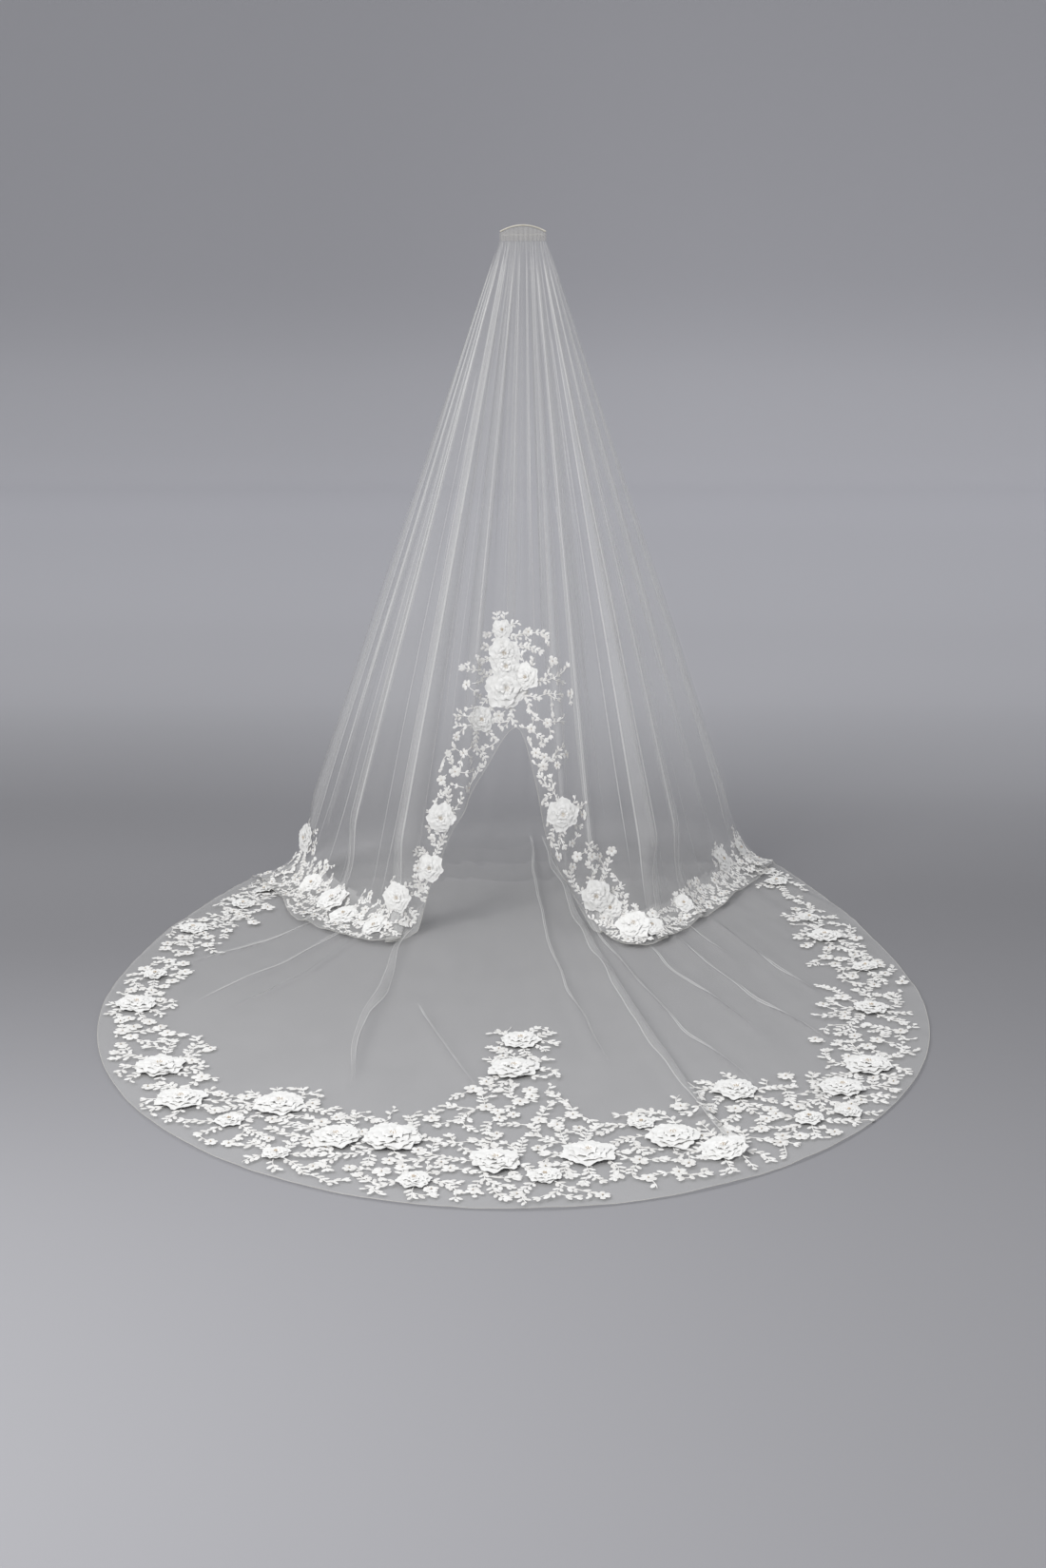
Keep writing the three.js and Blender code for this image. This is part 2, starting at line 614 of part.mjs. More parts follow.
const laces = [
  { name: 'front', grid: { ...frontGrid, turns: frontTurns }, side: 1, flowers: FRONT_FLOWERS },
  { name: 'train_right', grid: laceRight, side: -1, flowers: RIGHT_FLOWERS },
  { name: 'train_left', grid: laceLeft, side: -1, flowers: LEFT_FLOWERS },
];
for (const { name, grid, side, flowers } of laces) {
  const lace = piece(`lace_${name}`, laceBorder(grid, side, flowers), laceCloth());
  veil.add(lace);
  flowers.forEach((flower, k) => {
    const mesh = piece(`flower_${name}_${String(k + 1).padStart(2, '0')}`, bloom(flower.radius), laceCloth());
    seatFlower(mesh, flower, side, lace);
    veil.add(mesh);
  });
}

export default veil;
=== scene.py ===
"""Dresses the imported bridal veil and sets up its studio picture.

The veil is one oval piece of sheer net. It hangs from a hair comb, its short side ends in an arch on the
-Y side, and its long side is spread over the floor under the arch. Lengths in the tables are millimetres,
as in the part's source, and every mesh is made in metres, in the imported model's own frame.
"""

import logging
import math
import random
from bisect import bisect_right
from collections.abc import Sequence
from dataclasses import dataclass, field
from enum import Enum

import bmesh
import bpy
from mathutils import Matrix, Vector, noise
from mathutils.bvhtree import BVHTree
from mathutils.kdtree import KDTree

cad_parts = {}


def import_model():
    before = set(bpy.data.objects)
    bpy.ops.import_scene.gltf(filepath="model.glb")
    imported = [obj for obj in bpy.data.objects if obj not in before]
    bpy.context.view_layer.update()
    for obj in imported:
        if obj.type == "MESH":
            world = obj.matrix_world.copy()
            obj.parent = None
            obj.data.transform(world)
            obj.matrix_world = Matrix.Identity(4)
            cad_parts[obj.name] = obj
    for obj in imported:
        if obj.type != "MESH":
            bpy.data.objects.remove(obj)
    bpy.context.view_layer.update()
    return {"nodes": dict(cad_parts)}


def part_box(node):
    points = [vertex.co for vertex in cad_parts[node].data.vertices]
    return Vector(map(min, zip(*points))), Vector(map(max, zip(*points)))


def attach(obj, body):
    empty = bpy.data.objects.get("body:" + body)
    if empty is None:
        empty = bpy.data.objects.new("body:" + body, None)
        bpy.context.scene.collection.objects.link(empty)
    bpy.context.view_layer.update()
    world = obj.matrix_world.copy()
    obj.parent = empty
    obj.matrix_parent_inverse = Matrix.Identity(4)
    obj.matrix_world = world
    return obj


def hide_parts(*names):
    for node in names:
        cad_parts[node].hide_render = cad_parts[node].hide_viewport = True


LOG = logging.getLogger("veil")

MM = 0.001
HANG = 1600.0
FLOOR = -HANG * MM
FIRST_TURN = -90.0
RIGHT_TURN = 90.0
BACK_TURN = 180.0
LAST_TURN = 270.0
UP = Vector((0, 0, 1))

# In radians: about a full turn, the upper end of random angles, and the turn between spread beads.
AROUND = 6.28
SPREAD_ANGLE = 2.4


class Side(Enum):
    """The two parts of the closed cut edge."""

    FRONT = "front"
    TRAIN = "train"


class LacePart(Enum):
    """The lace border's pieces, named as the CAD nodes are."""

    FRONT = "front"
    TRAIN_RIGHT = "train_right"
    TRAIN_LEFT = "train_left"


@dataclass(frozen=True)
class RibRow:
    """Where a rib of the net leaves its hanging part, in plan.

    turn is in degrees round the comb, from the near centre by the right. lift is the height over the
    floor. out_x and out_y say how far the hem spreads on from there over the floor.
    """

    turn: float
    foot_x: float
    foot_y: float
    lift: float
    out_x: float
    out_y: float


@dataclass(frozen=True)
class Pleat:
    """A main pleat that runs down a rib: its turn, half its width in degrees, and how far it stands out."""

    at: float
    half: float
    deep: float


@dataclass(frozen=True)
class Lap:
    """A pleat folded flat, so that the net lies in three layers in a band down a rib.

    at is its turn, half its half width in degrees, and end the length down the rib where it dies out.
    hand is 1 or -1, the way it is folded.
    """

    at: float
    half: float
    end: float
    hand: int

    def fade(self, t: float) -> float:
        """Returns how much of it is left at a length down the rib: all of it over the first half."""
        return 1 - smoothstep(t, self.end / 2, self.end)


@dataclass(frozen=True)
class Station:
    """A place on the course of a fold: its turn, its length, and the fold's width there in millimetres.

    The length is taken down the rib on the walls, and past the foot of the rib on the floor.
    """

    turn: float
    length: float
    wide: float


@dataclass(frozen=True)
class Fold:
    """A pressed fold of the net, doubled in a band through its stations.

    high is how far the net rises under it, in millimetres.
    """

    course: tuple[Station, ...]
    high: float = 0.0

    @property
    def start(self) -> float:
        """Returns the length at which it starts."""
        return self.course[0].length

    @property
    def end(self) -> float:
        """Returns the length at which it ends."""
        return self.course[-1].length

    def at(self, length: float) -> tuple[float, float]:
        """Returns its turn and its width at a length."""
        k = 0
        while k < len(self.course) - 2 and length > self.course[k + 1].length:
            k += 1
        a, b = self.course[k], self.course[k + 1]
        f = (length - a.length) / (b.length - a.length)
        return a.turn + (b.turn - a.turn) * f, a.wide + (b.wide - a.wide) * f


@dataclass(frozen=True)
class Spot:
    """A flower: its turn, its distance from the cut edge along the rib, and its radius."""

    turn: float
    inset: float
    radius: float


@dataclass(frozen=True)
class Width:
    """Width of the lace border along the rib at a turn."""

    turn: float
    wide: float


@dataclass(frozen=True)
class BorderRow:
    """How the lace is worked on one part of the cut edge.

    margin is the bare strip along the edge, pace the step of a stem, and rosette how far lace may reach
    from a large flower whatever the border's width is. All are in millimetres, as leaf_size is.
    """

    side: Side
    parts: tuple[LacePart, ...]
    seed: int
    margin: float
    pace: float
    leaf_size: float
    rosette: float


@dataclass(frozen=True)
class PetalRow:
    """A layer of a large flower: how many petals it has, how long and wide they are, and how they stand.

    cup is how high a petal rises, and base where it starts over the flower's seat.
    """

    count: int
    length: float
    width: float
    cup: float
    base: float


@dataclass(frozen=True)
class PaintedLightTone:
    """The backdrop's painted tone at a place, with the lamps' light and shade painted in: metres along it,
    past the comb's foot point, on its left and right.
    """

    at: float
    left: float
    right: float


RIBS = (
    RibRow(-90, -588, 75, 0, -104, -36),
    RibRow(-74, -535, -35, 0, -70, -95),
    RibRow(-58, -462, -150, 0, -85, -150),
    RibRow(-44, -375, -290, 0, -60, -115),
    RibRow(-34, -312, -375, 0, -8, -100),
    RibRow(-26, -256, -385, 12, 4, -20),
    RibRow(-20, -216, -362, 115, 0, 0),
    RibRow(-14, -158, -322, 250, 0, 0),
    RibRow(-7, -92, -278, 362, 0, 0),
    RibRow(0, -15, -250, 462, 0, 0),
    RibRow(6, 28, -290, 345, 0, 0),
    RibRow(12, 58, -328, 205, 0, 0),
    RibRow(18, 105, -360, 105, 0, 0),
    RibRow(25, 168, -384, 18, 6, -24),
    RibRow(34, 246, -384, 0, 2, -98),
    RibRow(44, 312, -345, 0, 8, -118),
    RibRow(56, 378, -240, 0, 34, -96),
    RibRow(72, 478, -60, 0, 44, -78),
    RibRow(90, 585, 200, 0, 67, -34),
    RibRow(103, 548, 305, 0, 0, 0),
    RibRow(120, 440, 370, 0, 0, 0),
    RibRow(145, 250, 394, 0, 0, 0),
    RibRow(180, 0, 387, 0, 0, 0),
    RibRow(220, -310, 350, 0, 0, 0),
    RibRow(250, -520, 235, 0, 0, 0),
    RibRow(270, -588, 75, 0, -104, -36),
)

PLEATS = (
    Pleat(-85, 3, 1.8),
    Pleat(-70, 4, 2.0),
    Pleat(-54, 4, 2.4),
    Pleat(-33, 5, 3.2),
    Pleat(-13, 3, 1.8),
    Pleat(18, 3, 1.8),
    Pleat(26, 3, 2.0),
    Pleat(45, 5, 3.2),
    Pleat(58, 4, 2.4),
    Pleat(72, 4, 2.0),
    Pleat(84, 3, 1.8),
    Pleat(112, 5, 2.0),
    Pleat(130, 5, 2.2),
    Pleat(147, 4, 2.4),
    Pleat(157, 4, 2.0),
    Pleat(168, 4, 2.4),
    Pleat(177, 3, 2.0),
    Pleat(194, 4, 2.4),
    Pleat(204, 4, 2.0),
    Pleat(213, 4, 2.4),
    Pleat(228, 5, 2.2),
    Pleat(246, 5, 2.0),
)

LAPS = (
    Lap(-84, 4.5, 2400, -1),
    Lap(-70, 3.0, 1700, 1),
    Lap(-54.5, 4.0, 2400, 1),
    Lap(-32, 8.0, 2600, -1),
    Lap(-12.5, 3.0, 1500, -1),
    Lap(5, 2.4, 1000, 1),
    Lap(18, 3.4, 1900, 1),
    Lap(26, 3.8, 2200, 1),
    Lap(45, 8.0, 2600, 1),
    Lap(58.5, 4.0, 2400, -1),
    Lap(72, 3.0, 1700, -1),
    Lap(84, 4.5, 2400, 1),
    Lap(112, 5.5, 1620, 1),
    Lap(131, 5.5, 1600, -1),
    Lap(150, 6.0, 1640, 1),
    Lap(168, 5.5, 1620, 1),
    Lap(186, 4.5, 1560, -1),
    Lap(204, 6.0, 1640, -1),
    Lap(222, 5.5, 1600, 1),
    Lap(243, 5.5, 1620, -1),
)

FLOOR_FOLDS = (
    Fold(
        (Station(173, 40, 5), Station(170.2, 800, 14), Station(167.4, 1500, 20), Station(165.2, 2040, 3)),
        16,
    ),
    Fold((Station(171.5, 300, 3), Station(165, 1250, 4), Station(160.5, 1700, 3)), 6),
    Fold((Station(177.4, 40, 4), Station(176, 820, 4), Station(172.4, 1560, 3)), 8),
    Fold((Station(197.5, 560, 12), Station(195.2, 1250, 24), Station(193.2, 1680, 4)), 14),
    Fold((Station(190.6, 1230, 4), Station(186.3, 1475, 5), Station(182.6, 1700, 3)), 9),
    Fold((Station(212.5, 700, 6), Station(218, 860, 5), Station(226, 1010, 2)), 9),
    Fold((Station(207, 760, 6), Station(210.5, 1010, 5), Station(216, 1270, 2)), 9),
    Fold((Station(203.5, 800, 5), Station(206, 1060, 4), Station(211, 1320, 2)), 8),
    Fold((Station(153.5, 700, 6), Station(151, 980, 2)), 9),
    Fold((Station(147.5, 740, 6), Station(147, 1000, 5), Station(145, 1230, 2)), 10),
    Fold((Station(157, 820, 6), Station(154.5, 1150, 5), Station(150, 1510, 2)), 9),
    Fold((Station(161.5, 880, 4), Station(156.5, 1430, 2)), 6),
)

WALL_BANDS = (
    Fold((Station(-54.5, 40, 4), Station(-54.5, 1640, 10))),
    Fold((Station(-33, 40, 4), Station(-33.4, 800, 14), Station(-33.5, 1700, 24))),
    Fold((Station(-12.6, 60, 3), Station(-12.2, 1240, 7))),
    Fold((Station(26.5, 60, 3), Station(25.8, 1560, 8))),
    Fold((Station(45.5, 40, 4), Station(45.8, 800, 12), Station(46, 1700, 22))),
    Fold((Station(58, 60, 3), Station(58.4, 1640, 9))),
)

WALL_LINES = (
    Fold((Station(-47, 300, 2), Station(-44, 1620, 2.6))),
    Fold((Station(-39, 20, 2), Station(-40, 1640, 2.6))),
    Fold((Station(-22, 60, 2), Station(-20, 1260, 2.6))),
    Fold((Station(8.5, 380, 1.6), Station(4, 620, 1.6))),
    Fold((Station(17.5, 430, 1.6), Station(24, 640, 1.8), Station(30, 880, 1.6))),
    Fold((Station(14, 30, 2), Station(13, 900, 2.4))),
    Fold((Station(36, 200, 2), Station(38, 1500, 2.6))),
    Fold((Station(52, 30, 2), Station(52.6, 1600, 2.8))),
    Fold((Station(65, 300, 2), Station(67.5, 1620, 2.8))),
    Fold((Station(75.5, 60, 2), Station(77, 1640, 2.8))),
    Fold((Station(-64, 100, 2), Station(-66.5, 1640, 2.8))),
    Fold((Station(-76, 60, 2), Station(-77.5, 1640, 2.8))),
    Fold((Station(-87, 20, 2), Station(-88, 1680, 3))),
    Fold((Station(87, 20, 2), Station(88, 1680, 3))),
    Fold((Station(-3, 20, 2), Station(-2, 700, 2.2))),
)

LACE_WIDTHS = (
    Width(-90, 230),
    Width(-48, 230),
    Width(-30, 300),
    Width(-14, 215),
    Width(-3, 275),
    Width(6, 240),
    Width(19, 330),
    Width(28, 200),
    Width(50, 160),
    Width(90, 195),
    Width(115, 440),
    Width(128, 620),
    Width(144, 350),
    Width(162, 410),
    Width(167, 350),
    Width(171, 430),
    Width(175.5, 700),
    Width(180, 1060),
    Width(184.5, 700),
    Width(189, 430),
    Width(192, 330),
    Width(195, 410),
    Width(217, 325),
    Width(239, 430),
    Width(254, 520),
    Width(270, 230),
)

FLOWERS = {
    LacePart.FRONT: (
        Spot(-85, 200, 30),
        Spot(-54, 130, 36),
        Spot(-33, 160, 30),
        Spot(-22.5, 92, 27),
        Spot(-20, 152, 29),
        Spot(-3, 120, 42),
        Spot(-4, 222, 32),
        Spot(18, 168, 32),
        Spot(26, 96, 30),
        Spot(36, 90, 36),
        Spot(77, 130, 30),
    ),
    LacePart.TRAIN_RIGHT: (
        Spot(129.5, 400, 31),
        Spot(140.5, 235, 32),
        Spot(149, 150, 40),
        Spot(153.5, 155, 38),
        Spot(162.5, 335, 38),
        Spot(166, 120, 39),
        Spot(169, 218, 43),
        Spot(175, 200, 41),
        Spot(181, 180, 39),
        Spot(180, 600, 44),
        Spot(179.5, 750, 35),
    ),
    LacePart.TRAIN_LEFT: (
        Spot(188, 240, 48),
        Spot(192, 200, 40),
        Spot(197.5, 265, 43),
        Spot(205.5, 112, 40),
        Spot(210.5, 150, 43),
        Spot(223, 155, 37),
        Spot(239.5, 215, 29),
    ),
}

SINGLE_FLOWERS = {
    LacePart.FRONT: (
        Spot(-4.5, 288, 20),
        Spot(3, 165, 27),
        Spot(-9, 155, 26),
        Spot(-3, 172, 30),
        Spot(-48, 90, 30),
        Spot(-38, 70, 28),
        Spot(42, 75, 28),
        Spot(30, 120, 24),
        Spot(56, 90, 22),
        Spot(-68, 120, 24),
        Spot(84, 110, 22),
    ),
    LacePart.TRAIN_RIGHT: (
        Spot(178, 120, 26),
        Spot(171, 300, 22),
        Spot(158.5, 120, 25),
        Spot(155, 70, 22),
        Spot(115, 400, 24),
        Spot(131.5, 240, 24),
        Spot(125, 420, 22),
    ),
    LacePart.TRAIN_LEFT: (
        Spot(186, 85, 27),
        Spot(200.5, 135, 23),
        Spot(195.5, 80, 22),
        Spot(228, 200, 24),
        Spot(239, 430, 24),
        Spot(241.5, 480, 22),
    ),
}

TRAIN_SPLIT = 184.0

BORDERS = (
    BorderRow(Side.FRONT, (LacePart.FRONT,), 5, 8.0, 5.0, 13.0, 24.0),
    BorderRow(Side.TRAIN, (LacePart.TRAIN_RIGHT, LacePart.TRAIN_LEFT), 23, 32.0, 6.8, 18.0, 46.0),
)

# Rows of small flowers: how far across the lace each runs, and how many leaves long its sprigs are.
GARLANDS = ((0.16, 3.5), (0.42, 4), (0.68, 5), (0.88, 4))

# Layers of a large flower, in a flower of radius 1.
PETAL_ROWS = (
    PetalRow(6, 1.04, 1.0, 0.13, 0.02),
    PetalRow(6, 0.84, 0.82, 0.2, 0.08),
    PetalRow(5, 0.62, 0.64, 0.28, 0.14),
    PetalRow(4, 0.36, 0.42, 0.3, 0.2),
)

# The lying net looks denser in front of each of these places along Y, in metres.
LYING_LINES = (0.28, 0.15, 0.02)
LYING_ALPHAS = (0.12, 0.16, 0.22, 0.29)

# The backdrop's colour along its length, on its left and right, is painted light and shade from the lamps:
# darker about the veil's feet and from where the floor curves up into the wall.
PAINTED_LIGHT_TONES = (
    PaintedLightTone(-2.6, 0.375, 0.27),
    PaintedLightTone(-1.6, 0.32, 0.26),
    PaintedLightTone(-0.62, 0.225, 0.225),
    PaintedLightTone(0.08, 0.23, 0.23),
    PaintedLightTone(0.87, 0.255, 0.325),
    PaintedLightTone(1.92, 0.415, 0.47),
    PaintedLightTone(3.37, 0.54, 0.57),
    PaintedLightTone(5.5, 0.65, 0.68),
    PaintedLightTone(6.9, 0.68, 0.72),
    PaintedLightTone(7.5, 0.57, 0.62),
    PaintedLightTone(8.2, 0.49, 0.55),
    PaintedLightTone(8.7, 0.45, 0.50),
    PaintedLightTone(10.2, 0.43, 0.46),
)


def lerp(a: float, b: float, f: float) -> float:
    """Returns the value a share f of the way from a to b."""
    return a + (b - a) * f


def smoothstep(x: float, low: float, high: float) -> float:
    """Returns 0 below low, 1 above high and a smooth rise between."""
    f = min(1.0, max(0.0, (x - low) / (high - low)))
    return f * f * (3 - 2 * f)


def signed_root(x: float) -> float:
    """Returns the square root of a number's size, with the number's own sign."""
    return math.copysign(math.sqrt(abs(x)), x)


def flat_way(angle: float) -> Vector:
    """Returns the flat unit vector at an angle."""
    return Vector((math.cos(angle), math.sin(angle), 0))


def track(rows: Sequence[RibRow | Width], column: str, turn: float) -> float:
    """Reads a table as a smooth curve through its rows.

    Args:
        rows: The table, in order of turn.
        column: The name of the value that is read.
        turn: Where it is read, in degrees.

    Returns:
        The value there.
    """
    k = min(max(bisect_right([row.turn for row in rows], turn) - 1, 0), len(rows) - 2)

    def slope(i: int) -> float:
        """Returns the curve's slope at row i."""
        a, b = rows[max(i - 1, 0)], rows[min(i + 1, len(rows) - 1)]
        return (getattr(b, column) - getattr(a, column)) / (b.turn - a.turn)

    span = rows[k + 1].turn - rows[k].turn
    f = (turn - rows[k].turn) / span
    low = getattr(rows[k], column)
    rise = getattr(rows[k + 1], column) - low
    start, end = slope(k) * span, slope(k + 1) * span
    return low + f * start + f * f * (3 * rise - 2 * start - end) + f**3 * (start + end - 2 * rise)


@dataclass(frozen=True)
class Rib:
    """A line of the net from the comb down its hanging part and on along the floor."""

    ring: Vector
    down: Vector
    along: Vector
    hang: float
    lie: float
    bend: float

    @property
    def length(self) -> float:
        """Returns its whole length."""
        return self.hang + self.lie

    def point(self, t: float) -> Vector:
        """Returns the place a length t down the rib."""
        past = t - self.hang
        lying = 0.0
        if past > self.bend:
            lying = past
        elif past > -self.bend:
            lying = (past + self.bend) ** 2 / (4 * self.bend)
        return self.ring + self.down * (t - lying) + self.along * lying


@dataclass
class NetForm:
    """The form of the hanging and lying net, without its thickness.

    The net is read by a turn in degrees, from -90 to 270, and a share of the rib's length. Its ring lies
    under the gathered heading, and its train is an ellipse in plan that is tapered behind.
    """

    rows: int = 104
    base_columns: int = 360
    near_step: float = 0.75
    far_step: float = 0.5
    least_step: float = 0.16
    lap_cells: int = 10
    bend: float = 110.0
    side_blend: float = 6.0
    ring_x: float = 54.0
    ring_y: float = 6.9
    ring_z: float = -14.6
    ring_square_x: float = 0.35
    ring_square_y: float = 0.5
    train_middle: tuple[float, float] = (-20.0, -800.0)
    train_half_width: float = 890.0
    train_half_length: float = 987.0
    train_bearing: float = 131.0
    train_spread: float = 0.35
    taper_right: float = 0.75
    taper_left: float = 0.45
    train_rest: float = 3.0
    hem_rest: float = 14.0
    settle_low: float = 40.0
    settle_high: float = 240.0
    flat_pleat: float = 7.0
    pleat_fade: float = 1200.0
    lap_least: float = 1.2
    lap_growth: float = 3.6
    lap_grown: float = 900.0
    lap_draw: float = 2.9
    lap_lift: float = 2.6
    wave: float = 4.0
    wave_grown: float = 1000.0
    ripple: float = 2.0
    crease_run: float = 60.0
    crease_tip: float = 120.0
    crease_turns: float = 4.0
    crease_wide: float = 9.0
    ribs: list[Rib] = field(default_factory=list)
    plain: list[list[Vector]] = field(default_factory=list)
    plain_normals: list[list[Vector]] = field(default_factory=list)
    turns: list[float] = field(default_factory=list)
    points: list[list[Vector]] = field(default_factory=list)

    def __post_init__(self) -> None:
        """Works out the smooth net, and then the folded one."""
        step = (LAST_TURN - FIRST_TURN) / self.base_columns
        shares = [j / self.rows for j in range(self.rows + 1)]
        self.ribs = [self.rib(FIRST_TURN + k * step) for k in range(self.base_columns + 1)]
        self.plain = [[rib.point(rib.length * share) for share in shares] for rib in self.ribs]
        self.plain_normals = self.grid_normals(self.plain)
        self.turns = self.column_turns()
        self.points = [[self.folded(turn, share) for share in shares] for turn in self.turns]

    def train_edge(self, turn: float) -> Vector:
        """Returns the train's outline at a turn: an ellipse in front, drawn out to the feet behind."""
        side = (BACK_TURN - turn) / (BACK_TURN - RIGHT_TURN)
        bearing = math.radians(self.train_bearing * (side + self.train_spread * (side - side**3)))
        taper = self.taper_right if turn < BACK_TURN else self.taper_left
        back = max(0.0, -math.cos(bearing))
        x, y = self.train_middle
        x += self.train_half_width * math.sin(bearing)
        y -= self.train_half_length * math.cos(bearing) * (1 + taper * back)
        return Vector((x, y, -HANG + self.train_rest))

    def rib(self, turn: float) -> Rib:
        """Returns the rib at a turn."""
        across, deep = math.sin(math.radians(turn)), math.cos(math.radians(turn))
        x = self.ring_x * lerp(across, signed_root(across), self.ring_square_x)
        y = -self.ring_y * lerp(deep, signed_root(deep), self.ring_square_y)
        ring = Vector((x, y, self.ring_z))
        far = RIGHT_TURN < turn < LAST_TURN
        rest = self.train_rest
        if not far:
            beside = smoothstep(abs(turn), RIGHT_TURN - self.side_blend, RIGHT_TURN + self.side_blend)
            rest = lerp(self.hem_rest, self.train_rest, beside)
        lift = max(0.0, track(RIBS, "lift", turn))
        foot = Vector((track(RIBS, "foot_x", turn), track(RIBS, "foot_y", turn), -HANG + rest + lift))
        out = Vector((track(RIBS, "out_x", turn), track(RIBS, "out_y", turn), 0))
        edge = self.train_edge(turn) if far else foot + out
        edge.z = min(foot.z, -HANG + rest + max(0.0, lift - out.length))
        hang, lie = foot - ring, edge - foot
        bend = max(1.0, min(self.bend, lie.length))
        return Rib(ring, hang.normalized(), lie.normalized(), hang.length, lie.length, bend)

    def column_turns(self) -> list[float]:
        """Returns the turns of the cloth's columns: an even spacing, and more where a lap is folded."""
        near = round((RIGHT_TURN - FIRST_TURN) / self.near_step)
        far = round((LAST_TURN - RIGHT_TURN) / self.far_step)
        marks = [FIRST_TURN + k * self.near_step for k in range(near)]
        marks += [RIGHT_TURN + k * self.far_step for k in range(far + 1)]
        cells = range(1 - self.lap_cells, self.lap_cells)
        for lap in LAPS:
            marks += [lap.at + lap.half * k / self.lap_cells for k in cells]
        turns = [FIRST_TURN]
        for mark in sorted(marks):
            if mark - turns[-1] > self.least_step and mark < LAST_TURN - self.least_step:
                turns.append(mark)
        return [*turns, LAST_TURN]

    @staticmethod
    def grid_normals(points: list[list[Vector]]) -> list[list[Vector]]:
        """Returns a closed grid's normals, which point out of the bell on its walls."""
        last, rows = len(points) - 1, len(points[0]) - 1
        normals = []
        for i in range(last + 1):
            before, after = points[i - 1 if i else last - 1], points[i + 1 if i < last else 1]
            column = []
            for j in range(rows + 1):
                along = points[i][min(j + 1, rows)] - points[i][max(j - 1, 0)]
                column.append(along.cross(after[j] - before[j]).normalized())
            normals.append(column)
        return normals

    def column_at(self, turn: float) -> tuple[int, float]:
        """Returns the even column before a turn, and the share of the way from it to the next."""
        x = (turn - FIRST_TURN) / (LAST_TURN - FIRST_TURN) * self.base_columns
        i = min(max(int(x), 0), self.base_columns - 1)
        return i, min(1.0, max(0.0, x - i))

    def measure(self, turn: float, name: str) -> float:
        """Returns a rib's length, or the length of its hanging part, at a turn."""
        i, f = self.column_at(turn)
        return lerp(getattr(self.ribs[i], name), getattr(self.ribs[i + 1], name), f)

    def smooth(self, turn: float, share: float) -> tuple[Vector, Vector]:
        """Returns the smooth net's point and normal at a turn and a share of the rib."""
        i, fx = self.column_at(turn)
        y = min(max(share, 0.0), 1.0) * self.rows
        j = min(int(y), self.rows - 1)
        fy = y - j
        found = []
        for grid in (self.plain, self.plain_normals):
            low = grid[i][j].lerp(grid[i][j + 1], fy)
            high = grid[i + 1][j].lerp(grid[i + 1][j + 1], fy)
            found.append(low.lerp(high, fx))
        return found[0], found[1].normalized()

    def reach(self, turn: float, share: float) -> float:
        """Returns the width of a degree of turn at a share of the rib, in millimetres."""
        low, high = max(FIRST_TURN, turn - 0.5), min(LAST_TURN, turn + 0.5)
        return (self.smooth(high, share)[0] - self.smooth(low, share)[0]).length / (high - low)

    def lap_depth(self, lap: Lap, t: float) -> float:
        """Returns how far a lap's outer layer stands off the net at a length down the rib."""
        return (self.lap_least + self.lap_growth * min(1.0, t / self.lap_grown)) * lap.fade(t)

    def standing(self, turn: float, t: float) -> float:
        """Returns how far the laps stand off the net at a place, in millimetres."""
        stand = 0.0
        for lap in LAPS:
            off = abs(turn - lap.at) / lap.half
            if off < 1:
                stand = max(stand, self.lap_depth(lap, t) * (1 - smoothstep(off, 0.5, 1)))
        return stand

    def folded(self, turn: float, share: float) -> Vector:
        """Returns a point of the cloth, drawn sideways over itself where a lap is folded."""
        t = share * self.measure(turn, "length")
        shifted, stand = turn, 0.0
        for lap in LAPS:
            x = (turn - lap.at) / lap.half
            if abs(x) < 1:
                shifted -= lap.half * self.lap_draw * lap.fade(t) * x * (1 - x * x) ** 2
                stand += lap.hand * self.lap_lift * x * (1 - x * x) * self.lap_depth(lap, t)
        point, way = self.surface(min(LAST_TURN, max(FIRST_TURN, shifted)), share)
        return point + way * stand

    def surface(self, turn: float, share: float) -> tuple[Vector, Vector]:
        """Returns the net's point with its pleats, creases and waves, and the way that they rise."""
        point, normal = self.smooth(turn, share)
        t = share * self.measure(turn, "length")
        hang = self.measure(turn, "hang")
        settle = 1 - smoothstep(point.z + HANG, self.settle_low, self.settle_high)
        fade = math.exp(-max(0.0, t - hang) / self.pleat_fade)
        height = 0.0
        for pleat in PLEATS:
            off = abs(turn - pleat.at) / pleat.half
            if off < 1:
                standing = pleat.deep / 100 * min(t, hang)
                height += lerp(standing, self.flat_pleat, settle) * fade * math.cos(off * math.pi / 2) ** 2
        if RIGHT_TURN < turn < LAST_TURN and t > hang:
            height += self.crease_height(turn, share, t - hang)
        height += (1 - settle) * self.wall_wave(turn, t)
        if settle > 0:
            height += settle * self.floor_ripple(turn, t)
        way = normal.lerp(UP, settle)
        return point + way * height, way.normalized()

    def wall_wave(self, turn: float, t: float) -> float:
        """Returns the height of the walls' slow waves, which grow down the rib."""
        where = Vector((turn / 7, t / 420, 3.1))
        return min(1.0, t / self.wave_grown) * self.wave * noise.noise(where)

    def floor_ripple(self, turn: float, t: float) -> float:
        """Returns the height of the lying net's broad and fine ripples."""
        broad = noise.noise(Vector((turn / 2.2, t / 120, 8.7)))
        fine = noise.noise(Vector((turn, t / 50, 1.3)))
        return self.ripple + self.ripple * broad + fine

    def crease_height(self, turn: float, share: float, past: float) -> float:
        """Returns the height of the train's raised folds at a point."""
        height = 0.0
        for fold in FLOOR_FOLDS:
            if not fold.start - self.crease_run < past < fold.end + self.crease_run:
                continue
            middle, wide = fold.at(past)
            if abs(turn - middle) > self.crease_turns:
                continue
            spread = self.crease_wide + max(0.0, wide) / 2
            across = (turn - middle) * self.reach(turn, share) / spread
            if abs(across) < 3:
                ends = smoothstep(past, fold.start - self.crease_run, fold.start + self.crease_run)
                ends *= 1 - smoothstep(past, fold.end - self.crease_tip, fold.end + self.crease_run)
                height += fold.high * ends * math.exp(-across * across)
        return height


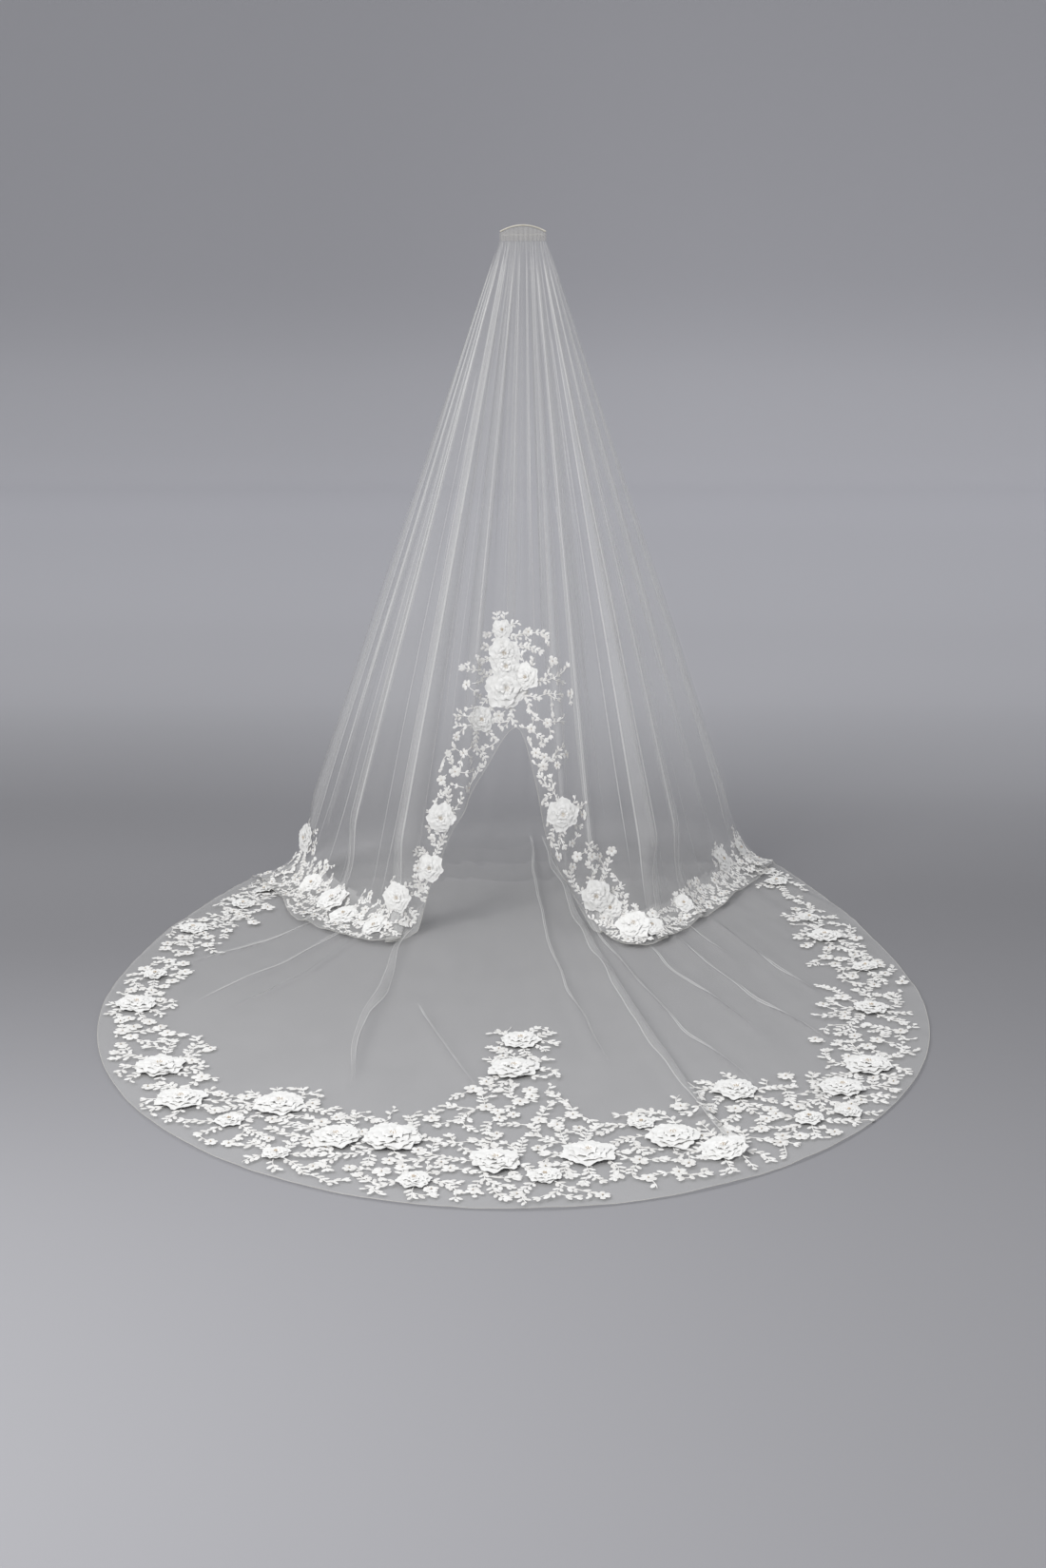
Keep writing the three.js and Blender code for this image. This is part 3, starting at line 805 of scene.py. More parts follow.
class Maker:
    """Helpers that turn a bmesh into a finished piece."""

    @staticmethod
    def piece(name: str, bm: bmesh.types.BMesh, materials: Sequence[bpy.types.Material]) -> bpy.types.Object:
        """Makes a bmesh a piece of the scene, shaded smooth.

        Args:
            name: The piece's name.
            bm: Its shape, in metres. It is freed.
            materials: Its materials, in the order of its face indices.

        Returns:
            The new object, at the origin.
        """
        mesh = bpy.data.meshes.new(name)
        bm.to_mesh(mesh)
        bm.free()
        for material in materials:
            mesh.materials.append(material)
        mesh.polygons.foreach_set("use_smooth", [True] * len(mesh.polygons))
        piece = bpy.data.objects.new(name, mesh)
        bpy.context.scene.collection.objects.link(piece)
        return piece

    @staticmethod
    def part(
        name: str,
        bm: bmesh.types.BMesh,
        materials: Sequence[bpy.types.Material],
        slot: str,
        nodes: Sequence[str] = (),
    ) -> bpy.types.Object:
        """slot: The record's material slot. It is not used.

        Returns:
            The new object.
        """
        piece = Maker.piece(name, bm, materials)
        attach(piece, "root")
        if nodes:
            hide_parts(*nodes)
        return piece

    @staticmethod
    def template(bm: bmesh.types.BMesh) -> bpy.types.Mesh:
        """Makes a bmesh a mesh that copies are taken from."""
        mesh = bpy.data.meshes.new("template")
        bm.to_mesh(mesh)
        bm.free()
        return mesh

    @staticmethod
    def scatter(
        template: bpy.types.Mesh, places: Sequence[Matrix], into: bmesh.types.BMesh, material: int = 0
    ) -> None:
        """Adds a copy of a small mesh at each place.

        Args:
            template: The mesh that is copied.
            places: Where each copy goes.
            into: The bmesh that takes the copies.
            material: The material index that the copies' faces take.
        """
        corners = [v.co.copy() for v in template.vertices]
        faces = [tuple(p.vertices) for p in template.polygons]
        for place in places:
            verts = [into.verts.new(place @ co) for co in corners]
            for face in faces:
                into.faces.new([verts[k] for k in face]).material_index = material

    @staticmethod
    def ring(bm: bmesh.types.BMesh, sides: int, radius: float, place: Matrix) -> list[bmesh.types.BMVert]:
        """Adds a ring of points at a place, and returns them."""
        return bmesh.ops.create_circle(bm, segments=sides, radius=radius, matrix=place)["verts"]

    @staticmethod
    def join_rings(bm: bmesh.types.BMesh, rings: Sequence[Sequence[bmesh.types.BMVert]]) -> None:
        """Joins each ring of points to the next with a row of faces, and turns the faces outwards."""
        for a, b in zip(rings, rings[1:]):
            sides = len(a)
            for k in range(sides):
                bm.faces.new((a[k], a[(k + 1) % sides], b[(k + 1) % sides], b[k]))
        bmesh.ops.recalc_face_normals(bm, faces=bm.faces)


def frame_matrix(point: Vector, x: Vector, up: Vector) -> Matrix:
    """Returns the matrix that puts a shape at a point, with its X along x and its Z along up."""
    z = up.normalized()
    along = (x - z * x.dot(z)).normalized()
    matrix = Matrix((along, z.cross(along), z)).transposed().to_4x4()
    matrix.translation = point
    return matrix


class Nodes:
    """A material's node tree, with short ways to add and join nodes."""

    def __init__(self, name: str) -> None:
        """Starts a material with a Principled shader.

        Args:
            name: The material's name.
        """
        self.material = bpy.data.materials.new(name)
        self.material.use_nodes = True
        self.tree = self.material.node_tree
        self.shader = self.tree.nodes["Principled BSDF"]

    def add(self, kind: str, **values: object) -> bpy.types.Node:
        """Adds a node and sets its properties and inputs by name."""
        node = self.tree.nodes.new(kind)
        for key, value in values.items():
            if hasattr(node, key):
                setattr(node, key, value)
            else:
                node.inputs[key.replace("_", " ")].default_value = value
        return node

    def join(self, source: bpy.types.NodeSocket, target: bpy.types.NodeSocket) -> None:
        """Links one socket to another."""
        self.tree.links.new(source, target)

    def ramp(
        self, source: bpy.types.NodeSocket, stops: Sequence[tuple[float, tuple[float, float, float]]]
    ) -> bpy.types.Node:
        """Adds a colour ramp on a socket."""
        node = self.add("ShaderNodeValToRGB")
        elements = node.color_ramp.elements
        while len(elements) < len(stops):
            elements.new(0.5)
        for element, (place, color) in zip(elements, stops):
            element.position = place
            element.color = (*color, 1)
        self.join(source, node.inputs["Fac"])
        return node

    def bump(self, source: bpy.types.NodeSocket, strength: float, distance: float) -> None:
        """Adds relief from a socket to the shader's normal."""
        node = self.add("ShaderNodeBump", Strength=strength, Distance=distance)
        self.join(source, node.inputs["Height"])
        self.join(node.outputs["Normal"], self.shader.inputs["Normal"])


@dataclass(frozen=True)
class Tulle:
    """Sheer silk net of fine six-sided meshes, mostly see-through."""

    name: str
    color: tuple[float, float, float] = (0.7, 0.695, 0.68)
    alpha: float = 0.09
    meshes: float = 650.0

    def make(self) -> bpy.types.Material:
        """Returns the finish as a material."""
        nodes = Nodes(self.name)
        where = nodes.add("ShaderNodeTexCoord")
        cells = nodes.add(
            "ShaderNodeTexVoronoi", feature="DISTANCE_TO_EDGE", Scale=self.meshes, Randomness=0.25
        )
        nodes.join(where.outputs["Object"], cells.inputs["Vector"])
        nodes.bump(cells.outputs["Distance"], 0.15, 0.0003)
        cloud = nodes.add("ShaderNodeTexNoise", Scale=9.0, Detail=3.0)
        nodes.join(where.outputs["Object"], cloud.inputs["Vector"])
        soft = tuple(0.94 * c for c in self.color)
        ramp = nodes.ramp(cloud.outputs["Fac"], ((0.3, soft), (0.7, self.color)))
        nodes.join(ramp.outputs["Color"], nodes.shader.inputs["Base Color"])
        nodes.shader.inputs["Roughness"].default_value = 0.7
        nodes.shader.inputs["Alpha"].default_value = self.alpha
        nodes.shader.inputs["Specular IOR Level"].default_value = 0.2
        return nodes.material


@dataclass(frozen=True)
class Thread:
    """Thread, chiffon, ribbon or resin with a fine grain, a little darker and warmer in random patches."""

    name: str
    color: tuple[float, float, float]
    shade: tuple[float, float, float]
    grain: float = 900.0
    depth: float = 0.0004
    roughness: float = 0.75
    sheen: float = 0.25
    alpha: float = 1.0

    def make(self) -> bpy.types.Material:
        """Returns the finish as a material."""
        nodes = Nodes(self.name)
        where = nodes.add("ShaderNodeTexCoord")
        grain = nodes.add("ShaderNodeTexNoise", Scale=self.grain, Detail=4.0)
        nodes.join(where.outputs["Object"], grain.inputs["Vector"])
        patches = nodes.add("ShaderNodeTexNoise", Scale=70.0, Detail=2.0)
        nodes.join(where.outputs["Object"], patches.inputs["Vector"])
        ramp = nodes.ramp(patches.outputs["Fac"], ((0.32, self.shade), (0.62, self.color)))
        nodes.join(ramp.outputs["Color"], nodes.shader.inputs["Base Color"])
        nodes.bump(grain.outputs["Fac"], 0.4, self.depth)
        nodes.shader.inputs["Roughness"].default_value = self.roughness
        nodes.shader.inputs["Sheen Weight"].default_value = self.sheen
        nodes.shader.inputs["Alpha"].default_value = self.alpha
        nodes.shader.inputs["Specular IOR Level"].default_value = 0.25
        return nodes.material


@dataclass
class Finishes:
    """The veil's finishes."""

    net: bpy.types.Material = field(default_factory=lambda: Tulle("sheer_net").make())
    lying: list[bpy.types.Material] = field(
        default_factory=lambda: [
            Tulle(f"lying_net_{k}", alpha=alpha).make() for k, alpha in enumerate(LYING_ALPHAS)
        ]
    )
    doubled: bpy.types.Material = field(default_factory=lambda: Tulle("doubled_net", alpha=0.15).make())
    creased: bpy.types.Material = field(default_factory=lambda: Tulle("creased_net", alpha=0.42).make())
    # The gathered net is coloured darker than the net itself: painted shade inside the gathers.
    gathered: bpy.types.Material = field(
        default_factory=lambda: Tulle("gathered_net_painted_shade", (0.5, 0.485, 0.46), 0.34, 500).make()
    )
    edge: bpy.types.Material = field(
        default_factory=lambda: Tulle("rolled_edge", (0.7, 0.685, 0.64), 0.42, 500).make()
    )
    lace: bpy.types.Material = field(
        default_factory=lambda: Thread("lace_thread", (0.78, 0.77, 0.75), (0.65, 0.635, 0.61)).make()
    )
    chiffon: bpy.types.Material = field(
        default_factory=lambda: Thread(
            "petal_chiffon", (0.8, 0.793, 0.775), (0.75, 0.742, 0.72), 700, 0.0003
        ).make()
    )
    bead: bpy.types.Material = field(
        default_factory=lambda: Thread(
            "seed_bead", (0.6, 0.5, 0.38), (0.48, 0.38, 0.27), 300, 0.0001, 0.3, 0.0
        ).make()
    )
    ribbon: bpy.types.Material = field(
        default_factory=lambda: Thread("cream_ribbon", (0.5, 0.475, 0.41), (0.42, 0.395, 0.33), 600).make()
    )
    comb: bpy.types.Material = field(
        default_factory=lambda: Thread(
            "clear_comb", (0.6, 0.59, 0.56), (0.57, 0.56, 0.53), 200, 0.00005, 0.25, 0.0, 0.18
        ).make()
    )


@dataclass
class Net:
    """The one piece of net: its cloth, its pressed folds and its rolled edge."""

    form: NetForm
    finishes: Finishes
    seed: int = 11
    lying_height: float = 0.06
    edge_radius: float = 0.0008
    edge_sides: int = 4
    gather_count: int = 34
    gather_lengths: tuple[float, ...] = (260, 380, 560, 800, 1050)
    far_creases: int = 20
    near_creases: int = 14
    lap_rim: float = 0.43
    arch_turn: float = 30.0
    arch_end: float = 1250.0
    foot_end: float = 1650.0
    wall_line: float = 2.4
    floor_line: float = 2.0
    pace: float = 26.0
    cell: float = 16.0
    wander: float = 0.9
    wander_length: float = 190.0
    start_run: float = 40.0
    tip_run: float = 160.0
    rise: float = 1.2
    rim_rise: float = 0.6

    def cloth(self) -> bpy.types.Object:
        """Makes the cloth: a grid whose points are moved to the net's form, closed into a ring."""
        form = self.form
        columns = len(form.turns) - 1
        bm = bmesh.new()
        made = bmesh.ops.create_grid(bm, x_segments=columns, y_segments=form.rows, size=0.5)
        place: dict[bmesh.types.BMVert, tuple[int, int]] = {}
        for vert in made["verts"]:
            place[vert] = (round((vert.co.x + 0.5) * columns), round((vert.co.y + 0.5) * form.rows))
        for vert, (i, j) in place.items():
            vert.co = form.points[i][j] * MM
        seam = [vert for vert, (i, _) in place.items() if i in (0, columns)]
        bmesh.ops.remove_doubles(bm, verts=seam, dist=0.0001)
        for face in bm.faces:
            centre = face.calc_center_median()
            if centre.z - FLOOR < self.lying_height:
                face.material_index = 1 + sum(centre.y < line for line in LYING_LINES)
        nodes = ("front_fall", "back_fall_right", "back_fall_middle", "back_fall_left", "train")
        return Maker.part("net", bm, [self.finishes.net, *self.finishes.lying], "net", nodes)

    def gathers(self) -> list[Fold]:
        """Returns the many small folds that start at the comb, each dying out at its own length."""
        chance = random.Random(self.seed)
        folds = []
        for _ in range(self.gather_count):
            turn = chance.uniform(-86, 266)
            end = chance.choice(self.gather_lengths) * chance.uniform(0.8, 1.2)
            wide = chance.uniform(3, 10)
            course = (
                Station(turn, 2, chance.uniform(1.0, 2.2)),
                Station(turn + chance.uniform(-1, 1), end * 0.7, wide),
                Station(turn + chance.uniform(-2, 2), end, 0.8),
            )
            folds.append(Fold(course))
        return folds

    def creases(self) -> list[Fold]:
        """Returns the thin bright lines where the net is folded sharply."""
        chance = random.Random(self.seed + 1)
        lines = list(WALL_LINES)
        for _ in range(self.far_creases):
            turn = chance.uniform(92, 268)
            start, end = chance.uniform(60, 600), chance.uniform(1300, 1640)
            lines.append(Fold((Station(turn, start, 1.2), Station(turn + chance.uniform(-3, 3), end, 2.4))))
        for _ in range(self.near_creases):
            turn = chance.uniform(-88, 88)
            end = chance.uniform(240, 900)
            lines.append(Fold((Station(turn, 30, 0.8), Station(turn + chance.uniform(-1.5, 1.5), end, 1.6))))
        for lap in LAPS:
            for rim in (-self.lap_rim, self.lap_rim):
                turn = lap.at + rim * lap.half
                end = min(lap.end * 0.7, self.foot_end if abs(lap.at) > self.arch_turn else self.arch_end)
                lines.append(Fold((Station(turn, 40, 0.9), Station(turn, end, 2.4))))
        return lines

    def folds(self) -> bpy.types.Object:
        """Makes the pressed folds as narrow doublings of the net, and the sharp lines at their edges."""
        bm = bmesh.new()
        for fold in (*WALL_BANDS, *self.gathers()):
            self.band(bm, fold, on_floor=False)
        for fold in FLOOR_FOLDS:
            self.band(bm, fold, on_floor=True)
        doubled = len(bm.faces)
        for fold in self.creases():
            self.band(bm, fold, on_floor=False, wide=self.wall_line)
        for rim in (-0.5, 0.5):
            for fold in WALL_BANDS:
                self.band(bm, fold, on_floor=False, side=rim, wide=self.wall_line)
            for fold in FLOOR_FOLDS:
                self.band(bm, fold, on_floor=True, side=rim, wide=self.floor_line)
        for k, face in enumerate(bm.faces):
            face.material_index = 0 if k < doubled else 1
        return Maker.part("net_folds", bm, [self.finishes.doubled, self.finishes.creased], "net")

    def band(
        self, bm: bmesh.types.BMesh, fold: Fold, on_floor: bool, side: float = 0.0, wide: float = 0.0
    ) -> None:
        """Adds one fold to a bmesh.

        Args:
            bm: The bmesh that takes it.
            fold: Its course.
            on_floor: Whether its lengths are taken from the foot of the ribs.
            side: Where it runs across the fold, as a share of the fold's width.
            wide: Its greatest width in millimetres, or 0 for the fold's own.
        """
        form = self.form
        steps = max(6, round((fold.end - fold.start) / self.pace))
        widest = max(stop.wide for stop in fold.course)
        cells = max(1, round((wide or widest) / self.cell))
        made = bmesh.ops.create_grid(bm, x_segments=cells, y_segments=steps, size=0.5)
        for vert in made["verts"]:
            length = lerp(fold.start, fold.end, vert.co.y + 0.5)
            turn, own = fold.at(length)
            if on_floor:
                where = Vector((length / self.wander_length, fold.course[0].turn, 0))
                turn += self.wander * noise.noise(where)
            t = length + form.measure(turn, "hang") if on_floor else length
            t = min(t, form.measure(turn, "length") - 2)
            share = t / form.measure(turn, "length")
            taper = min(1.0, (length - fold.start) / self.start_run, (fold.end - length) / self.tip_run)
            off = side * own + vert.co.x * min(wide or own, own) * max(0.05, taper)
            turn = min(LAST_TURN, max(FIRST_TURN, turn + off / max(0.5, form.reach(turn, share))))
            point, _ = form.surface(turn, share)
            way = UP if on_floor else form.smooth(turn, share)[1]
            rise = self.rise + self.rim_rise * abs(side) + form.standing(turn, t)
            vert.co = (point + way * rise) * MM

    def rolled_edge(self) -> bpy.types.Object:
        """Makes the narrow roll that finishes the whole cut edge."""
        hem = [column[-1] * MM for column in self.form.points[:-1]]
        bm = bmesh.new()
        rings = []
        for i, centre in enumerate(hem):
            tangent = hem[(i + 1) % len(hem)] - hem[i - 1]
            place = frame_matrix(centre, tangent, UP) @ Matrix.Rotation(math.pi / 2, 4, "Y")
            rings.append(Maker.ring(bm, self.edge_sides, self.edge_radius, place))
        Maker.join_rings(bm, [*rings, rings[0]])
        return Maker.part("rolled_edge", bm, [self.finishes.edge], "net")


@dataclass(frozen=True)
class Seat:
    """A place on the net for lace: its point in metres, its normal, and the plane's X and Y there."""

    point: Vector
    normal: Vector
    x: Vector
    y: Vector


@dataclass
class Band:
    """The net beside the cut edge, laid out flat so that lace can be drawn on it in true size.

    A place in the flat plane is a pair of millimetres. The front band unrolls the hanging wall round the
    comb, and the train's band is its plan.
    """

    form: NetForm
    side: Side
    apex: float = 160.0
    step: float = 0.25
    probe: float = 60.0
    nudge: float = 4.0
    least_slant: float = 0.35
    ray_height: float = 0.2
    levelled: float = 0.5
    turns: list[float] = field(default_factory=list)
    angles: list[float] = field(default_factory=list)
    hem: list[Vector] = field(default_factory=list)
    inward: list[Vector] = field(default_factory=list)
    travel: list[float] = field(default_factory=list)

    def __post_init__(self) -> None:
        """Lays out the cut edge in the flat plane."""
        first, last = (RIGHT_TURN, LAST_TURN) if self.side is Side.TRAIN else (FIRST_TURN, RIGHT_TURN)
        count = round((last - first) / self.step)
        form = self.form
        angle = 0.0
        for k in range(count + 1):
            turn = first + k * self.step
            if k and self.side is Side.FRONT:
                deep = min(form.measure(turn, "hang"), form.measure(turn - self.step, "hang"))
                here = form.smooth(turn, deep / form.measure(turn, "length"))[0]
                there = form.smooth(turn - self.step, deep / form.measure(turn - self.step, "length"))[0]
                angle += (here - there).length / (deep + self.apex)
            self.turns.append(turn)
            self.angles.append(angle)
        self.hem = [self.flat(k, 0) for k in range(count + 1)]
        self.tree = KDTree(len(self.hem))
        for k, place in enumerate(self.hem):
            self.tree.insert(place, k)
        self.tree.balance()
        total = 0.0
        for k, place in enumerate(self.hem):
            total += (place - self.hem[k - 1]).length if k else 0.0
            self.travel.append(total)
            tangent = self.hem[min(k + 1, count)] - self.hem[max(k - 1, 0)]
            normal = Vector((-tangent.y, tangent.x, 0)).normalized()
            self.inward.append(normal if normal.dot(self.flat(k, self.probe) - place) > 0 else -normal)
        if self.side is Side.TRAIN:
            self.lying = self.train_surface()

    def train_surface(self) -> BVHTree:
        """Returns the lying part of the net as a tree for rays from above."""
        form = self.form
        first = next(k for k, turn in enumerate(form.turns) if turn >= RIGHT_TURN)
        verts = [point * MM for column in form.points[first:] for point in column]
        tall = form.rows + 1
        faces = []
        for i in range(len(form.turns) - 1 - first):
            turn = form.turns[first + i]
            foot = form.measure(turn, "hang") / form.measure(turn, "length") * form.rows
            for j in range(math.ceil(foot), form.rows):
                a = i * tall + j
                faces.append((a, a + tall, a + tall + 1, a + 1))
        return BVHTree.FromPolygons(verts, faces)

    def flat(self, k: int, inset: float) -> Vector:
        """Returns the flat place at a row of the cut edge, an inset along the rib from it."""
        turn = self.turns[k]
        length = self.form.measure(turn, "length")
        if self.side is Side.FRONT:
            angle = self.angles[k]
            return Vector((math.sin(angle), -math.cos(angle), 0)) * (length - inset + self.apex)
        point = self.form.smooth(turn, 1 - inset / length)[0]
        return Vector((point.x, point.y, 0))

    def spot(self, spot: Spot) -> Vector:
        """Returns the flat place of a flower."""
        k = min(round((spot.turn - self.turns[0]) / self.step), len(self.turns) - 1)
        return self.flat(k, spot.inset)

    def nearest(self, place: Vector) -> tuple[int, float]:
        """Returns the nearest row of the cut edge to a flat place, and the inset from it."""
        found, k, _ = self.tree.find(place)
        return k, (place - found).dot(self.inward[k])

    def width(self, k: int) -> float:
        """Returns the lace's width across the band at a row of the cut edge."""
        rib_way = (self.flat(k, self.probe) - self.hem[k]).normalized()
        slant = max(self.least_slant, abs(rib_way.dot(self.inward[k])))
        return track(LACE_WIDTHS, "wide", self.turns[k]) * slant

    def seat(self, place: Vector) -> Seat | None:
        """Returns the seat for lace at a flat place, or None where the net isn't."""
        if self.side is Side.FRONT:
            return self.front_seat(place)
        start = Vector((place.x * MM, place.y * MM, FLOOR + self.ray_height))
        point, normal, _, _ = self.lying.ray_cast(start, -UP)
        if point is None:
            return None
        up = normal if normal.z > 0 else -normal
        return Seat(point, up.lerp(UP, self.levelled).normalized(), Vector((1, 0, 0)), Vector((0, 1, 0)))

    def front_seat(self, place: Vector) -> Seat | None:
        """Returns the seat at a flat place of the front band."""
        here = self.front_point(place)
        right = self.front_point(place + Vector((self.nudge, 0, 0)))
        up = self.front_point(place + Vector((0, self.nudge, 0)))
        if here is None or right is None or up is None:
            return None
        x, y = (right - here).normalized(), (up - here).normalized()
        return Seat(here * MM, x.cross(y).normalized(), x, y)

    def front_point(self, place: Vector) -> Vector | None:
        """Returns the point over the front fall and its laps at a flat place, or None past its edges."""
        form = self.form
        angle = math.atan2(place.x, -place.y)
        k = bisect_right(self.angles, angle)
        if k <= 0 or k >= len(self.angles):
            return None
        f = (angle - self.angles[k - 1]) / (self.angles[k] - self.angles[k - 1])
        turn = lerp(self.turns[k - 1], self.turns[k], f)
        t = place.length - self.apex
        share = t / form.measure(turn, "length")
        if share > 1:
            return None
        return form.surface(turn, share)[0] + form.smooth(turn, share)[1] * form.standing(turn, t)


@dataclass
class Petals:
    """A large flower of layered chiffon petals round a few seed beads.

    Its lengths are shares of its radius, but for bead_radius, which is in metres.
    """

    seed: int
    sheet: float = 0.014
    tip_round: float = 0.34
    rim_wave: float = 0.045
    rim_pleat: float = 0.02
    foot_width: float = 0.14
    ruffle: float = 0.06
    pleat: float = 0.028
    side_curl: float = 0.08
    flatness: float = 0.42
    bead_count: int = 6
    bead_radius: float = 0.0013
    bead_ring: float = 0.09
    bead_height: float = 0.24

    def petal(
        self, chance: random.Random, length: float, width: float, cup: float, base: float
    ) -> bmesh.types.BMesh:
        """Makes one broad ruffled petal that points along X.

        Args:
            chance: The source of its small differences.
            length: How far it reaches from the centre.
            width: Its greatest width.
            cup: How high it rises.
            base: Where it starts, over the seat.

        Returns:
            The petal, as a thin sheet in a flower of radius 1.
        """
        bm = bmesh.new()
        bmesh.ops.create_grid(bm, x_segments=4, y_segments=8, size=0.5)
        phase = chance.uniform(0, AROUND)
        lean = chance.uniform(-0.06, 0.06)
        for vert in bm.verts:
            f, g = vert.co.x + 0.5, vert.co.y * 2
            hand = 1 if round((g + 1) * 4) % 2 else -1
            wave = math.sin(6 * g + phase)
            rim = 1 - self.tip_round * g * g * f - self.rim_wave * f * wave + self.rim_pleat * hand * f
            swell = math.sin(min(1.0, f * 1.12) * math.pi * 0.56)
            half = width / 2 * lerp(self.foot_width, 1, swell)
            ruffle = self.ruffle * f * f * wave + self.pleat * hand * f
            rise = cup * math.sin(f * math.pi * 0.72) + self.side_curl * g * g * f
            vert.co = Vector((length * lerp(0.04, 1, f) * rim, half * g + lean * f, base + rise + ruffle))
        bmesh.ops.solidify(bm, geom=bm.faces[:], thickness=self.sheet)
        return bm

    def make(self, radius: float) -> bpy.types.Mesh:
        """Returns the flower as a mesh, its petals in the first material and its beads in the second."""
        chance = random.Random(self.seed)
        bm = bmesh.new()
        for row in PETAL_ROWS:
            start = chance.uniform(0, AROUND)
            for k in range(row.count):
                long = row.length * chance.uniform(0.88, 1.06)
                high = row.cup * chance.uniform(0.75, 1.25)
                petal = self.petal(chance, long, row.width, high, row.base + 0.02 * (k % 2))
                bmesh.ops.recalc_face_normals(petal, faces=petal.faces)
                angle = start + (k + chance.uniform(-0.12, 0.12)) / row.count * 2 * math.pi
                turn = Matrix.Rotation(angle, 3, "Z")
                bmesh.ops.rotate(petal, verts=petal.verts, cent=(0, 0, 0), matrix=turn)
                bmesh.ops.scale(petal, verts=petal.verts, vec=(radius, radius, radius * self.flatness))
                mesh = Maker.template(petal)
                bm.from_mesh(mesh)
                bpy.data.meshes.remove(mesh)
        for k in range(self.bead_count):
            reach = 0.0 if k == 0 else radius * self.bead_ring
            spot = flat_way(k * SPREAD_ANGLE) * reach + UP * radius * self.bead_height
            centre = Matrix.Translation(spot)
            made = bmesh.ops.create_icosphere(bm, subdivisions=1, radius=self.bead_radius, matrix=centre)
            for face in {face for vert in made["verts"] for face in vert.link_faces}:
                face.material_index = 1
        return Maker.template(bm)


@dataclass
class LaceMotifs:
    """The small shapes that the lace is worked from, in unit size."""

    leaf: bpy.types.Mesh = field(init=False)
    petal: bpy.types.Mesh = field(init=False)
    bead: bpy.types.Mesh = field(init=False)

    def __post_init__(self) -> None:
        """Makes the shapes."""
        self.leaf = self.padded(6, 0.42, 0.09, 0.05)
        self.petal = self.padded(8, 0.7, 0.15, 0.16)
        bm = bmesh.new()
        bmesh.ops.create_icosphere(bm, subdivisions=1, radius=1.0)
        self.bead = Maker.template(bm)

    @staticmethod
    def padded(sides: int, width: float, high: float, blunt: float) -> bpy.types.Mesh:
        """Makes a padded leaf or petal from X 0 to 1, with a raised middle.

        Args:
            sides: The number of its corners.
            width: Its greatest width with six corners. With eight it comes out 1.15 times as wide.
            high: How far its middle rises.
            blunt: How far its widest place lies past the middle.

        Returns:
            The shape, closed below.
        """
        hexagon_width = 0.87
        bm = bmesh.new()
        bmesh.ops.create_cone(bm, segments=sides, radius1=0.5, radius2=0.0, depth=high, cap_ends=True)
        bmesh.ops.rotate(bm, verts=bm.verts, cent=(0, 0, 0), matrix=Matrix.Rotation(math.pi / 2, 3, "Z"))
        for vert in bm.verts:
            f = vert.co.x + 0.5
            shift = blunt * 4 * f * (1 - f)
            vert.co = Vector((f + shift, vert.co.y * width / hexagon_width, vert.co.z + high / 2))
        return Maker.template(bm)


@dataclass
class LaceDraft:
    """What has been drawn of one piece of lace: places of its leaves, petals and beads, and its cords."""

    leaves: list[Matrix] = field(default_factory=list)
    petals: list[Matrix] = field(default_factory=list)
    beads: list[Matrix] = field(default_factory=list)
    cords: list[list[Vector]] = field(default_factory=list)


